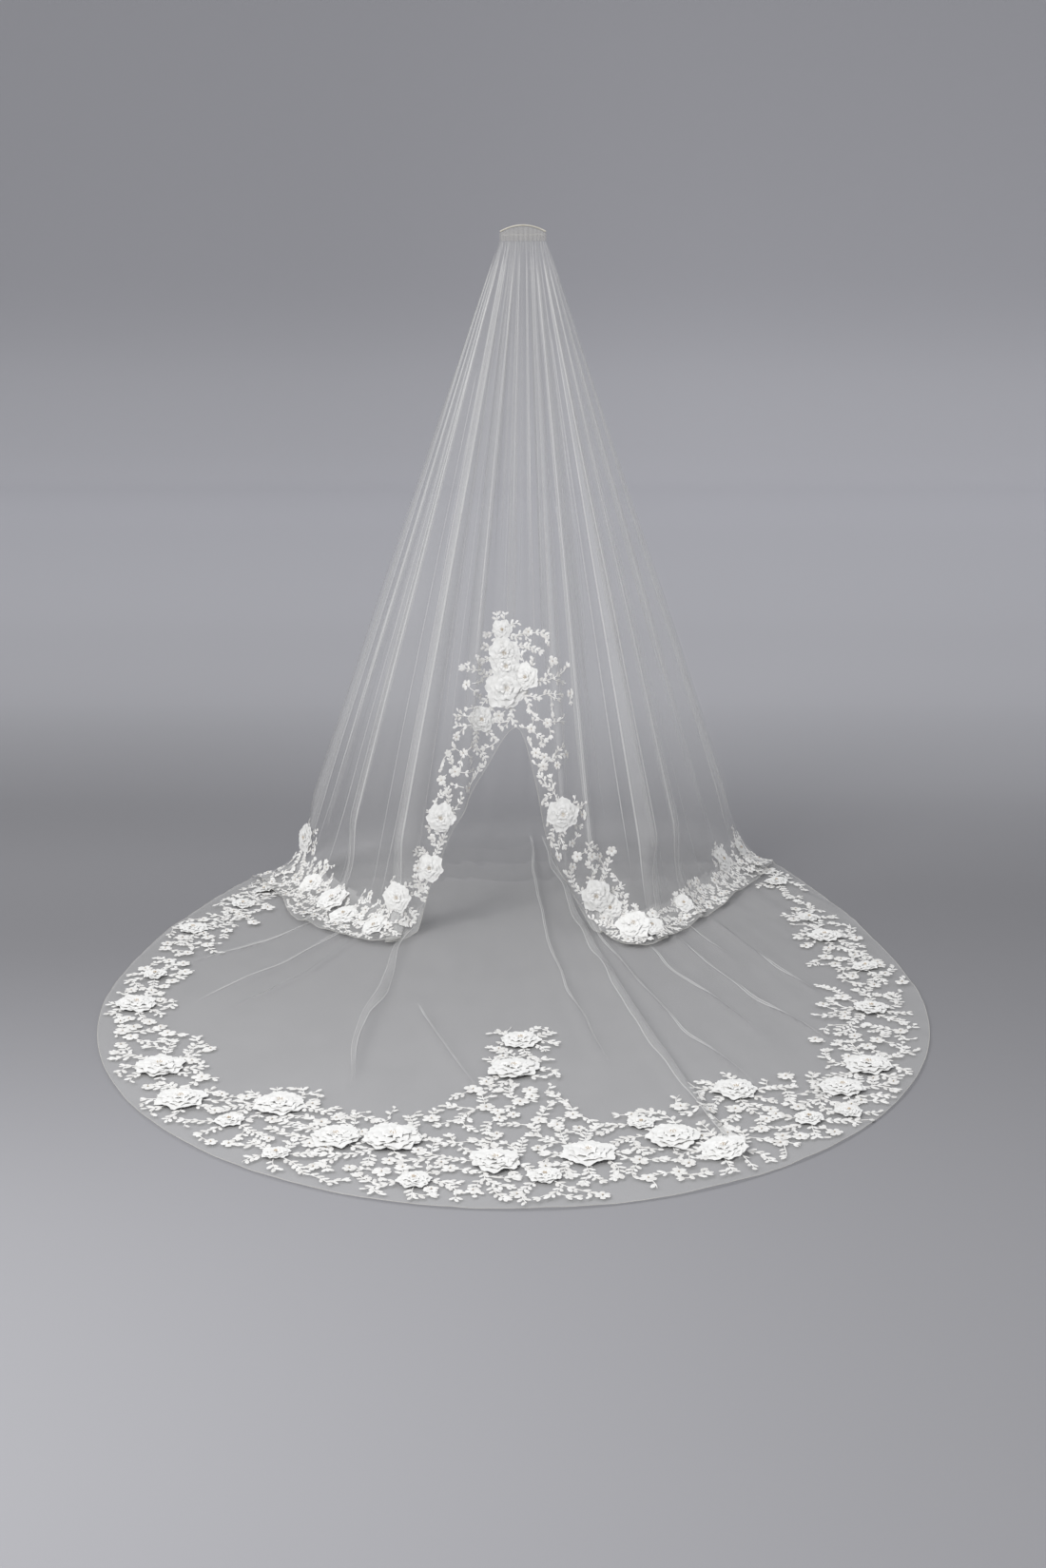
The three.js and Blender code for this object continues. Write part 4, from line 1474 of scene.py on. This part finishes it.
@dataclass
class LaceWorker:
    """Draws sprigs, leaves and small flowers over a band of the net, and keeps them apart.

    Its seed, margin, pace, leaf_size and rosette are those of a BorderRow.
    """

    band: Band
    seed: int
    margin: float
    pace: float
    leaf_size: float
    rosette: float
    cell: float = 12.0
    room_share: float = 0.88
    edge_wave: float = 1.1
    edge_wave_length: float = 55.0
    tip_share: float = 0.84
    tip_wave: float = 0.42
    tip_wave_length: float = 62.0
    least_margin: float = 3.0
    flower_margin: float = 8.0
    pair_chance: float = 0.75
    branch_chance: float = 0.34
    flower_end: float = 0.3
    fork_end: float = 0.85
    garland_pitch: float = 3.6
    bare_gap: float = 1.25
    fill_tries: int = 9000
    leaf_lift: float = 0.5
    cord_lift: float = 0.9
    petal_lift: float = 1.0
    bead_lift: float = 3.0
    bead_radius: float = 1.4

    def __post_init__(self) -> None:
        """Starts the source of small differences and the pieces' drafts."""
        self.room = self.leaf_size * self.room_share
        self.roots: list[tuple[Vector, float, int]] = []
        self.chance = random.Random(self.seed)
        self.drafts: dict[LacePart, LaceDraft] = {part: LaceDraft() for part in LacePart}
        self.marks: dict[tuple[int, int], list[tuple[float, float, int]]] = {}
        self.owners = 0

    def part_at(self, place: Vector) -> LacePart:
        """Returns the piece of lace that a flat place belongs to."""
        if self.band.side is Side.FRONT:
            return LacePart.FRONT
        k, _ = self.band.nearest(place)
        return LacePart.TRAIN_RIGHT if self.band.turns[k] < TRAIN_SPLIT else LacePart.TRAIN_LEFT

    def mark(self, place: Vector, owner: int) -> None:
        """Notes that a sprig has worked at a flat place."""
        key = (math.floor(place.x / self.cell), math.floor(place.y / self.cell))
        self.marks.setdefault(key, []).append((place.x, place.y, owner))

    def around(self, place: Vector, reach: float) -> list[tuple[float, float, float, int]]:
        """Returns the marks within a reach of a flat place, as distance, x, y and owner."""
        found = []
        span = math.ceil(reach / self.cell)
        ci, cj = math.floor(place.x / self.cell), math.floor(place.y / self.cell)
        for i in range(ci - span, ci + span + 1):
            for j in range(cj - span, cj + span + 1):
                for x, y, owner in self.marks.get((i, j), ()):
                    apart = math.hypot(x - place.x, y - place.y)
                    if apart < reach:
                        found.append((apart, x, y, owner))
        return found

    def crowded(self, place: Vector, reach: float, own: Sequence[int] = ()) -> bool:
        """Says whether another sprig has worked within a reach of a flat place."""
        return any(owner not in own for _, _, _, owner in self.around(place, reach))

    def inside(self, place: Vector) -> bool:
        """Says whether lace may lie at a flat place, between the edge's margin and the inner tips."""
        k, inset = self.band.nearest(place)
        if not 0 < k < len(self.band.hem) - 1:
            return False
        travel = self.band.travel[k]
        edge_wave = noise.noise(Vector((travel / self.edge_wave_length, 0.5, 0)))
        margin = self.margin * (1 + self.edge_wave * edge_wave)
        if any((place - root).length < radius + self.rosette for root, radius, _ in self.roots):
            return inset > min(self.flower_margin, self.margin)
        tip_wave = noise.noise(Vector((travel / self.tip_wave_length, 7.5, 0)))
        scallop = self.tip_share + self.tip_wave * tip_wave
        return max(self.least_margin, margin) < inset < self.band.width(k) * scallop

    def put(
        self, kind: list[Matrix], place: Vector, heading: float, size: tuple[float, float, float], lift: float
    ) -> None:
        """Sets one shape on the net.

        Args:
            kind: The list that takes its place.
            place: Where it goes in the flat plane, in millimetres.
            heading: The way it points in the plane.
            size: Its length, width and height, in millimetres.
            lift: Its height over the net, in millimetres.
        """
        seat = self.band.seat(place)
        if seat is None:
            return
        x = seat.x * math.cos(heading) + seat.y * math.sin(heading)
        matrix = frame_matrix(seat.point + seat.normal * lift * MM, x, seat.normal)
        kind.append(matrix @ Matrix.Diagonal((size[0] * MM, size[1] * MM, size[2] * MM, 1)))

    def leaf(self, place: Vector, heading: float, size: float, owner: int) -> None:
        """Sets a leaf with its foot at a flat place, where there is room for it."""
        middle = place + flat_way(heading) * size * 0.6
        if self.crowded(middle, self.room * 0.5, (owner,)) or not self.inside(middle):
            return
        self.mark(middle, owner)
        tall = self.chance.uniform(0.9, 1.3) * size
        leaves = self.drafts[self.part_at(place)].leaves
        self.put(leaves, place, heading, (size, size, tall), self.leaf_lift)

    def sprig(self, start: Vector, heading: float, length: float, depth: int = 0, parent: int = 0) -> None:
        """Grows a corded stem with pairs of leaves, which may branch and ends in buds or a flower.

        Args:
            start: Its foot in the flat plane, in millimetres.
            heading: The way it sets out, in radians.
            length: Its length in millimetres.
            depth: How many stems it has branched from.
            parent: The mark's owner that it may touch.
        """
        chance = self.chance
        self.owners += 1
        me = self.owners
        curl = chance.uniform(-0.02, 0.02)
        trail, ways = [start.copy()], [heading]
        for _ in range(round(length / self.pace)):
            heading += curl * self.pace + chance.uniform(-0.1, 0.1)
            nxt = trail[-1] + flat_way(heading) * self.pace
            if not self.inside(nxt) or self.crowded(nxt, self.room, (me, parent)):
                break
            trail.append(nxt)
            ways.append(heading)
        if len(trail) < 3:
            return
        for place in trail:
            self.mark(place, me)
        side = chance.choice((1, -1))
        branches = []
        for k in range(2, len(trail) - 1, 2):
            side = -side
            for hand in (side, -side) if chance.random() < self.pair_chance else (side,):
                way = ways[k] + hand * chance.uniform(0.5, 0.95)
                self.leaf(trail[k], way, self.leaf_size * chance.uniform(0.78, 1.18), me)
            if depth < 2 and k > 3 and chance.random() < self.branch_chance:
                branches.append((trail[k], ways[k] + side * chance.uniform(0.6, 1.0)))
        self.finish(trail[-1], ways[-1], me)
        seats = [self.band.seat(spot) for spot in trail]
        cord = [seat.point + seat.normal * self.cord_lift * MM for seat in seats if seat is not None]
        if len(cord) > 2:
            self.drafts[self.part_at(trail[-1])].cords.append(cord)
        for place, way in branches:
            self.sprig(place, way, length * chance.uniform(0.4, 0.65), depth + 1, me)

    def finish(self, place: Vector, heading: float, owner: int) -> None:
        """Ends a stem in a small flower, a fork of three leaves or a round bud."""
        kind = self.chance.random()
        size = self.leaf_size
        if kind < self.flower_end:
            self.small_flower(place + flat_way(heading) * 6, self.chance.uniform(0.68, 0.9) * size, owner)
        elif kind < self.fork_end:
            for turn in (-0.65, 0.0, 0.65):
                self.leaf(place, heading + turn, self.chance.uniform(0.8, 1.1) * size, owner)
        else:
            leaves = self.drafts[self.part_at(place)].leaves
            self.put(leaves, place, heading, (size * 0.7, size * 1.2, size), self.leaf_lift + 0.1)

    def small_flower(self, place: Vector, radius: float, owner: int) -> bool:
        """Sets a small flower of five or six padded petals with a bead in its eye.

        Args:
            place: Its middle in the flat plane.
            radius: Its radius in millimetres.
            owner: The marks' owner that it belongs to.

        Returns:
            Whether there was room for it.
        """
        if self.crowded(place, radius * 0.95, (owner,)) or not self.inside(place):
            return False
        for k in range(6):
            self.mark(place + flat_way(k * math.pi / 3) * radius * 0.65, owner)
        draft = self.drafts[self.part_at(place)]
        count = self.chance.choice((5, 5, 6))
        turn = self.chance.uniform(0, AROUND)
        for k in range(count):
            way = turn + k / count * 2 * math.pi + self.chance.uniform(-0.08, 0.08)
            size = radius * self.chance.uniform(0.92, 1.08)
            foot = place + flat_way(way)
            lift = self.petal_lift + 0.5 * (k % 2)
            self.put(draft.petals, foot, way, (size, size * 5.4 / count, size), lift)
        self.put(draft.beads, place, 0, (self.bead_radius,) * 3, self.bead_lift)
        return True

    def work(self, spots: Sequence[Spot]) -> None:
        """Draws the whole border round its large flowers.

        Args:
            spots: The large flowers of the band.
        """
        chance = self.chance
        size = self.leaf_size
        for spot in spots:
            place = self.band.spot(spot)
            self.owners += 1
            for ring in range(1, 4):
                for k in range(4 * ring):
                    edge = flat_way(k / ring * math.pi / 2) * spot.radius * 0.25 * ring
                    self.mark(place + edge, self.owners)
            self.roots.append((place, spot.radius, self.owners))
        for place, radius, owner in self.roots:
            for k in range(8):
                heading = (k + chance.uniform(-0.3, 0.3)) / 8 * 2 * math.pi
                start = place + flat_way(heading) * radius * 0.75
                self.sprig(start, heading, chance.uniform(4, 7) * size, 0, owner)
        for share, length in GARLANDS:
            self.garland(share, self.garland_pitch * size, length * size)
        self.fill(size * self.bare_gap, self.fill_tries)

    def garland(self, share: float, pitch: float, length: float) -> None:
        """Draws a row of small flowers along the band, each with sprigs.

        Args:
            share: How far across the lace it runs, from the edge.
            pitch: The distance between its flowers in millimetres.
            length: The length of its sprigs in millimetres.
        """
        band, chance = self.band, self.chance
        travel = pitch * chance.random()
        while travel < band.travel[-1]:
            k = min(bisect_right(band.travel, travel), len(band.hem) - 1)
            inset = band.width(k) * (share + chance.uniform(-0.1, 0.1)) + 8
            place = band.hem[k] + band.inward[k] * inset
            travel += pitch * chance.uniform(0.7, 1.3)
            self.owners += 1
            owner = self.owners
            if not self.small_flower(place, chance.uniform(0.8, 1.05) * self.leaf_size, owner):
                continue
            base = math.atan2(band.inward[k].y, band.inward[k].x) + chance.uniform(-0.6, 0.6)
            for turn in (0, 2.1, 4.2):
                heading = base + turn + chance.uniform(-0.5, 0.5)
                start = place + flat_way(heading) * 9
                self.sprig(start, heading, length * chance.uniform(0.6, 1.2), 0, owner)

    def fill(self, gap: float, tries: int) -> None:
        """Grows short sprigs from the work beside them into what is still bare.

        Args:
            gap: The distance from any work at which a place counts as bare, in millimetres.
            tries: How many places are looked at.
        """
        band, chance = self.band, self.chance
        for _ in range(tries):
            k = chance.randrange(1, len(band.hem) - 1)
            place = band.hem[k] + band.inward[k] * band.width(k) * chance.random() ** 1.2
            if not self.inside(place) or self.around(place, gap):
                continue
            near = sorted(self.around(place, gap * 2.6))
            if not near:
                continue
            _, x, y, owner = near[0]
            start = Vector((x, y, 0))
            way = place - start
            length = way.length + chance.uniform(1, 3) * self.leaf_size
            self.sprig(start, math.atan2(way.y, way.x), length, 1, owner)


@dataclass
class Lace:
    """The lace border and its large flowers."""

    form: NetForm
    finishes: Finishes
    cord_radius: float = 0.0011
    crisp: float = math.radians(50)
    bloom_seed: int = 101
    bloom_size: float = 1.24
    bloom_turn: float = 1.7
    bloom_lift: float = 2.0

    def build(self) -> list[bpy.types.Object]:
        """Draws and makes every piece of the border."""
        motifs = LaceMotifs()
        pieces = []
        for row in BORDERS:
            band = Band(self.form, row.side)
            worker = LaceWorker(band, row.seed, row.margin, row.pace, row.leaf_size, row.rosette)
            worker.work([spot for part in row.parts for spot in (*FLOWERS[part], *SINGLE_FLOWERS[part])])
            for part in row.parts:
                pieces.append(self.border(part, worker.drafts[part], motifs))
                pieces.extend(self.blooms(part, band))
        for piece in pieces:
            piece.data.set_sharp_from_angle(angle=self.crisp)
        return pieces

    def border(self, part: LacePart, draft: LaceDraft, motifs: LaceMotifs) -> bpy.types.Object:
        """Makes one piece of the border from its draft."""
        bm = bmesh.new()
        Maker.scatter(motifs.leaf, draft.leaves, bm)
        Maker.scatter(motifs.petal, draft.petals, bm)
        Maker.scatter(motifs.bead, draft.beads, bm, 1)
        cords = self.cords(draft.cords)
        bm.from_mesh(cords)
        bpy.data.meshes.remove(cords)
        count = (len(draft.leaves), len(draft.petals), len(draft.cords))
        LOG.info("lace %s: %d leaves, %d petals, %d cords", part.value, *count)
        materials = [self.finishes.lace, self.finishes.bead]
        return Maker.part(f"lace_{part.value}_worked", bm, materials, "lace", [f"lace_{part.value}"])

    def cords(self, paths: Sequence[Sequence[Vector]]) -> bpy.types.Mesh:
        """Returns the corded stems as a mesh of thin tubes."""
        curve = bpy.data.curves.new("cords", "CURVE")
        curve.dimensions = "3D"
        curve.bevel_depth = self.cord_radius
        curve.bevel_resolution = 0
        curve.use_fill_caps = True
        for path in paths:
            spline = curve.splines.new("POLY")
            spline.points.add(len(path) - 1)
            for point, place in zip(spline.points, path):
                point.co = (*place, 1)
        holder = bpy.data.objects.new("cords", curve)
        mesh = bpy.data.meshes.new_from_object(holder)
        bpy.data.objects.remove(holder)
        bpy.data.curves.remove(curve)
        return mesh

    def blooms(self, part: LacePart, band: Band) -> list[bpy.types.Object]:
        """Makes the large flowers of one piece of the border."""
        pieces = []
        for k, spot in enumerate((*FLOWERS[part], *SINGLE_FLOWERS[part])):
            seat = band.seat(band.spot(spot))
            if seat is None:
                continue
            place, nodes = seat.point, []
            if k < len(FLOWERS[part]):
                nodes = [f"flower_{part.value}_{k + 1:02d}"]
                low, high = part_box(nodes[0])
                centre = (Vector(low) + Vector(high)) / 2
                place = centre + seat.normal * (seat.point - centre).dot(seat.normal)
            seed = self.bloom_seed + k * 7 + len(part.value)
            mesh = Petals(seed).make(spot.radius * self.bloom_size * MM)
            turn = k * self.bloom_turn
            heading = seat.x * math.cos(turn) + seat.y * math.sin(turn)
            mesh.transform(frame_matrix(place + seat.normal * self.bloom_lift * MM, heading, seat.normal))
            bm = bmesh.new()
            bm.from_mesh(mesh)
            bpy.data.meshes.remove(mesh)
            materials = [self.finishes.chiffon, self.finishes.bead]
            pieces.append(Maker.part(f"bloom_{part.value}_{k + 1:02d}", bm, materials, "lace", nodes))
        return pieces


@dataclass
class Heading:
    """The gathered heading at the comb, with its cream binding and the comb itself."""

    finishes: Finishes
    half_width: float = 56.0
    half_depth: float = 9.5
    low: float = -14.0
    end: float = 17.0
    crown: float = 33.0
    folds: int = 240
    ridge: float = 1.2
    groove: float = -2.0
    lean: float = 0.3
    closed: float = 0.12
    roll_half: float = 54.0
    roll_radius: float = 2.2
    roll_lift: float = 2.5
    roll_tip: float = 0.55
    stitch: float = 0.86

    def top(self, x: float) -> float:
        """Returns the height of its top at a place across it."""
        return self.low + lerp(self.crown, self.end, min(1.0, (x / self.half_width) ** 2))

    def cap(self) -> bpy.types.Object:
        """Makes the ruched cap: a tall ring drawn into fine uneven gathers and closed over the top."""
        chance = random.Random(3)
        bm = bmesh.new()
        bmesh.ops.create_cone(bm, segments=self.folds, radius1=1.0, radius2=1.0, depth=1.0, cap_ends=False)
        rungs = [edge for edge in bm.edges if abs(edge.verts[0].co.z - edge.verts[1].co.z) > 0.5]
        bmesh.ops.subdivide_edges(bm, edges=rungs, cuts=6)
        depths = [chance.uniform(0.3, 1.0) for _ in range(self.folds)]
        for vert in bm.verts:
            angle = math.atan2(vert.co.x, vert.co.y)
            f = vert.co.z + 0.5
            k = round(angle / (2 * math.pi) * self.folds) % self.folds
            gather = (self.ridge if k % 8 < 5 else self.groove) * depths[k // 8 * 8]
            shape = 1.0 - self.lean * smoothstep(f, 0.5, 1.0)
            x = (self.half_width - 1) * math.sin(angle) * lerp(0.985, 1.0, f)
            y = signed_root(math.cos(angle)) * (self.half_depth * shape + gather)
            vert.co = Vector((x, y, lerp(self.low, self.top(x) - 0.8, f))) * MM
        rim = [edge for edge in bm.edges if edge.is_boundary and edge.verts[0].co.z > 0]
        made = bmesh.ops.extrude_edge_only(bm, edges=rim)
        for vert in (item for item in made["geom"] if isinstance(item, bmesh.types.BMVert)):
            vert.co.y *= self.closed
        bmesh.ops.recalc_face_normals(bm, faces=bm.faces)
        # Its finish is darker than the net's, with the shade inside the gathers painted in.
        return Maker.part("gathered_cap", bm, [self.finishes.gathered], "net", ["gathered_heading"])

    def binding(self) -> bpy.types.Object:
        """Makes the cream roll along the top, whipped on with small stitches."""
        bm = bmesh.new()
        steps, sides = 90, 10
        rings = []
        for k in range(steps + 1):
            x = lerp(-self.roll_half, self.roll_half, k / steps)
            pinched = self.stitch if k % 3 == 0 else 1.0
            radius = self.roll_radius * pinched * (1 if 0 < k < steps else self.roll_tip)
            slope = math.atan2(self.top(x + 1) - self.top(x - 1), 2)
            place = Matrix.Translation(Vector((x, 0, self.top(x) + self.roll_lift)) * MM)
            turn = place @ Matrix.Rotation(-slope, 4, "Y") @ Matrix.Rotation(math.pi / 2, 4, "Y")
            rings.append(Maker.ring(bm, sides, radius * MM, turn))
        for ring in (rings[0], rings[-1]):
            bm.faces.new(ring)
        Maker.join_rings(bm, rings)
        return Maker.part("cream_binding", bm, [self.finishes.ribbon], "binding", ["edge_binding"])

    def dress_comb(self, node: bpy.types.Object) -> None:
        """Gives the comb, which stays as it is in the CAD model, its resin finish."""
        for slot in node.material_slots:
            slot.material = self.finishes.comb


@dataclass
class Studio:
    """The pale floor, the grey backdrop, soft lights and the camera."""

    camera_y: float = -5.2
    camera_height: float = 1.75
    pitch: float = 15.94
    focal_pixels: float = 2268.0
    long_side: float = 1649.0
    curve: float = 1.0
    wall: float = 8.0
    near: float = -12.0
    side: float = 12.0
    high: float = 6.0
    tint: tuple[float, float, float] = (1.0, 0.991, 1.035)

    def camera(self) -> None:
        """Places the camera where the photograph was taken from."""
        data = bpy.data.cameras.new("camera")
        data.sensor_width = 36.0
        data.lens = self.focal_pixels / self.long_side * 36.0
        data.clip_end = 60
        camera = bpy.data.objects.new("camera", data)
        camera.location = (0, self.camera_y, FLOOR + self.camera_height)
        camera.rotation_euler = (math.radians(90 - self.pitch), 0, 0)
        bpy.context.scene.collection.objects.link(camera)
        bpy.context.scene.camera = camera

    def backdrop(self) -> None:
        """Makes the floor and the backdrop as one sheet of paper, curved where they meet, with light and
        shade painted into its colour.
        """
        bm = bmesh.new()
        bmesh.ops.create_grid(bm, x_segments=2, y_segments=220, size=1.0)
        uv = bm.loops.layers.uv.verify()
        for face in bm.faces:
            for loop in face.loops:
                loop[uv].uv = ((loop.vert.co.x + 1) / 2, (loop.vert.co.y + 1) / 2)
        run = self.wall - self.curve - self.near
        arc = self.curve * math.pi / 2
        whole = run + arc + self.high
        for vert in bm.verts:
            d = (vert.co.y + 1) / 2 * whole
            x = vert.co.x * self.side
            if d < run:
                vert.co = Vector((x, self.near + d, FLOOR))
            elif d < run + arc:
                a = (d - run) / self.curve
                y = self.wall - self.curve + self.curve * math.sin(a)
                vert.co = Vector((x, y, FLOOR + self.curve * (1 - math.cos(a))))
            else:
                vert.co = Vector((x, self.wall, FLOOR + self.curve + d - run - arc))
        nodes = Nodes("backdrop_paper_painted_light")
        where = nodes.add("ShaderNodeTexCoord")
        split = nodes.add("ShaderNodeSeparateXYZ")
        nodes.join(where.outputs["UV"], split.inputs["Vector"])
        # Painted light: the paper's left and right are lit differently, so two painted tones blend across its
        # middle.
        across = nodes.add(
            "ShaderNodeMapRange", interpolation_type="SMOOTHSTEP", From_Min=0.44, From_Max=0.56
        )
        nodes.join(split.outputs["X"], across.inputs["Value"])
        mix = nodes.add("ShaderNodeMix", data_type="RGBA")
        nodes.join(across.outputs["Result"], mix.inputs["Factor"])
        # The mix's two colours are its inputs 6 and 7, and the mixed colour is its output 2.
        for name, target in (("left", mix.inputs[6]), ("right", mix.inputs[7])):
            stops = []
            for lit_tone in PAINTED_LIGHT_TONES:
                color = tuple(part * getattr(lit_tone, name) for part in self.tint)
                stops.append(((lit_tone.at - self.near) / whole, color))
            painted_light_ramp = nodes.ramp(split.outputs["Y"], stops)
            painted_light_ramp.color_ramp.interpolation = "CARDINAL"
            nodes.join(painted_light_ramp.outputs["Color"], target)
        grain = nodes.add("ShaderNodeTexNoise", Scale=260.0, Detail=3.0)
        nodes.join(where.outputs["Object"], grain.inputs["Vector"])
        nodes.bump(grain.outputs["Fac"], 0.05, 0.0005)
        nodes.join(mix.outputs[2], nodes.shader.inputs["Base Color"])
        nodes.shader.inputs["Roughness"].default_value = 0.95
        nodes.shader.inputs["Specular IOR Level"].default_value = 0.1
        Maker.piece("backdrop", bm, [nodes.material])

    def light(
        self,
        name: str,
        place: tuple[float, float, float],
        aim: tuple[float, float, float],
        size: float,
        power: float,
    ) -> None:
        """Adds one soft square light.

        Args:
            name: Its name.
            place: Where it stands.
            aim: The point it faces.
            size: The length of its side.
            power: Its power in watts.
        """
        data = bpy.data.lights.new(name, "AREA")
        data.size = size
        data.energy = power
        lamp = bpy.data.objects.new(name, data)
        lamp.location = place
        lamp.rotation_euler = (Vector(aim) - Vector(place)).to_track_quat("-Z", "Y").to_euler()
        bpy.context.scene.collection.objects.link(lamp)

    def build(self) -> None:
        """Makes the whole setting."""
        scene = bpy.context.scene
        world = bpy.data.worlds.new("studio")
        world.use_nodes = True
        world.node_tree.nodes["Background"].inputs["Color"].default_value = (0.94, 0.96, 1.0, 1)
        world.node_tree.nodes["Background"].inputs["Strength"].default_value = 0.6
        scene.world = world
        self.light("key", (-3.0, -3.8, 2.4), (0, -0.4, -1.0), 2.2, 185)
        self.light("fill", (2.6, -3.4, 1.6), (0, -0.4, -1.0), 2.6, 20)
        self.light("top", (-0.6, -1.2, 3.0), (0, -0.8, -1.6), 2.4, 45)
        scene.view_settings.view_transform = "Standard"
        scene.cycles.transparent_max_bounces = 48
        self.backdrop()
        self.camera()


def main() -> None:
    """Builds the veil and its setting, piece by piece."""
    logging.basicConfig(level=logging.INFO, format="%(name)s: %(message)s")
    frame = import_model()
    finishes = Finishes()
    form = NetForm()
    LOG.info("the net's form is worked out, in %d columns", len(form.turns))
    net = Net(form, finishes)
    cloth, folds, edge = net.cloth(), net.folds(), net.rolled_edge()
    lace = Lace(form, finishes).build()
    heading = Heading(finishes)
    cap, roll = heading.cap(), heading.binding()
    heading.dress_comb(frame["nodes"]["hair_comb"])
    # The cut's width is a guess that the form speaks against: over the comb, from side hem to side hem, the
    # form measures 3.53 m. The length is near the form's own down the middle, 4.94 m.
    for piece in (cloth, folds, edge, *lace, cap, roll):
        LOG.info("%s: %d faces", piece.name, len(piece.data.polygons))
    Studio().build()


if __name__ == "__main__":
    main()
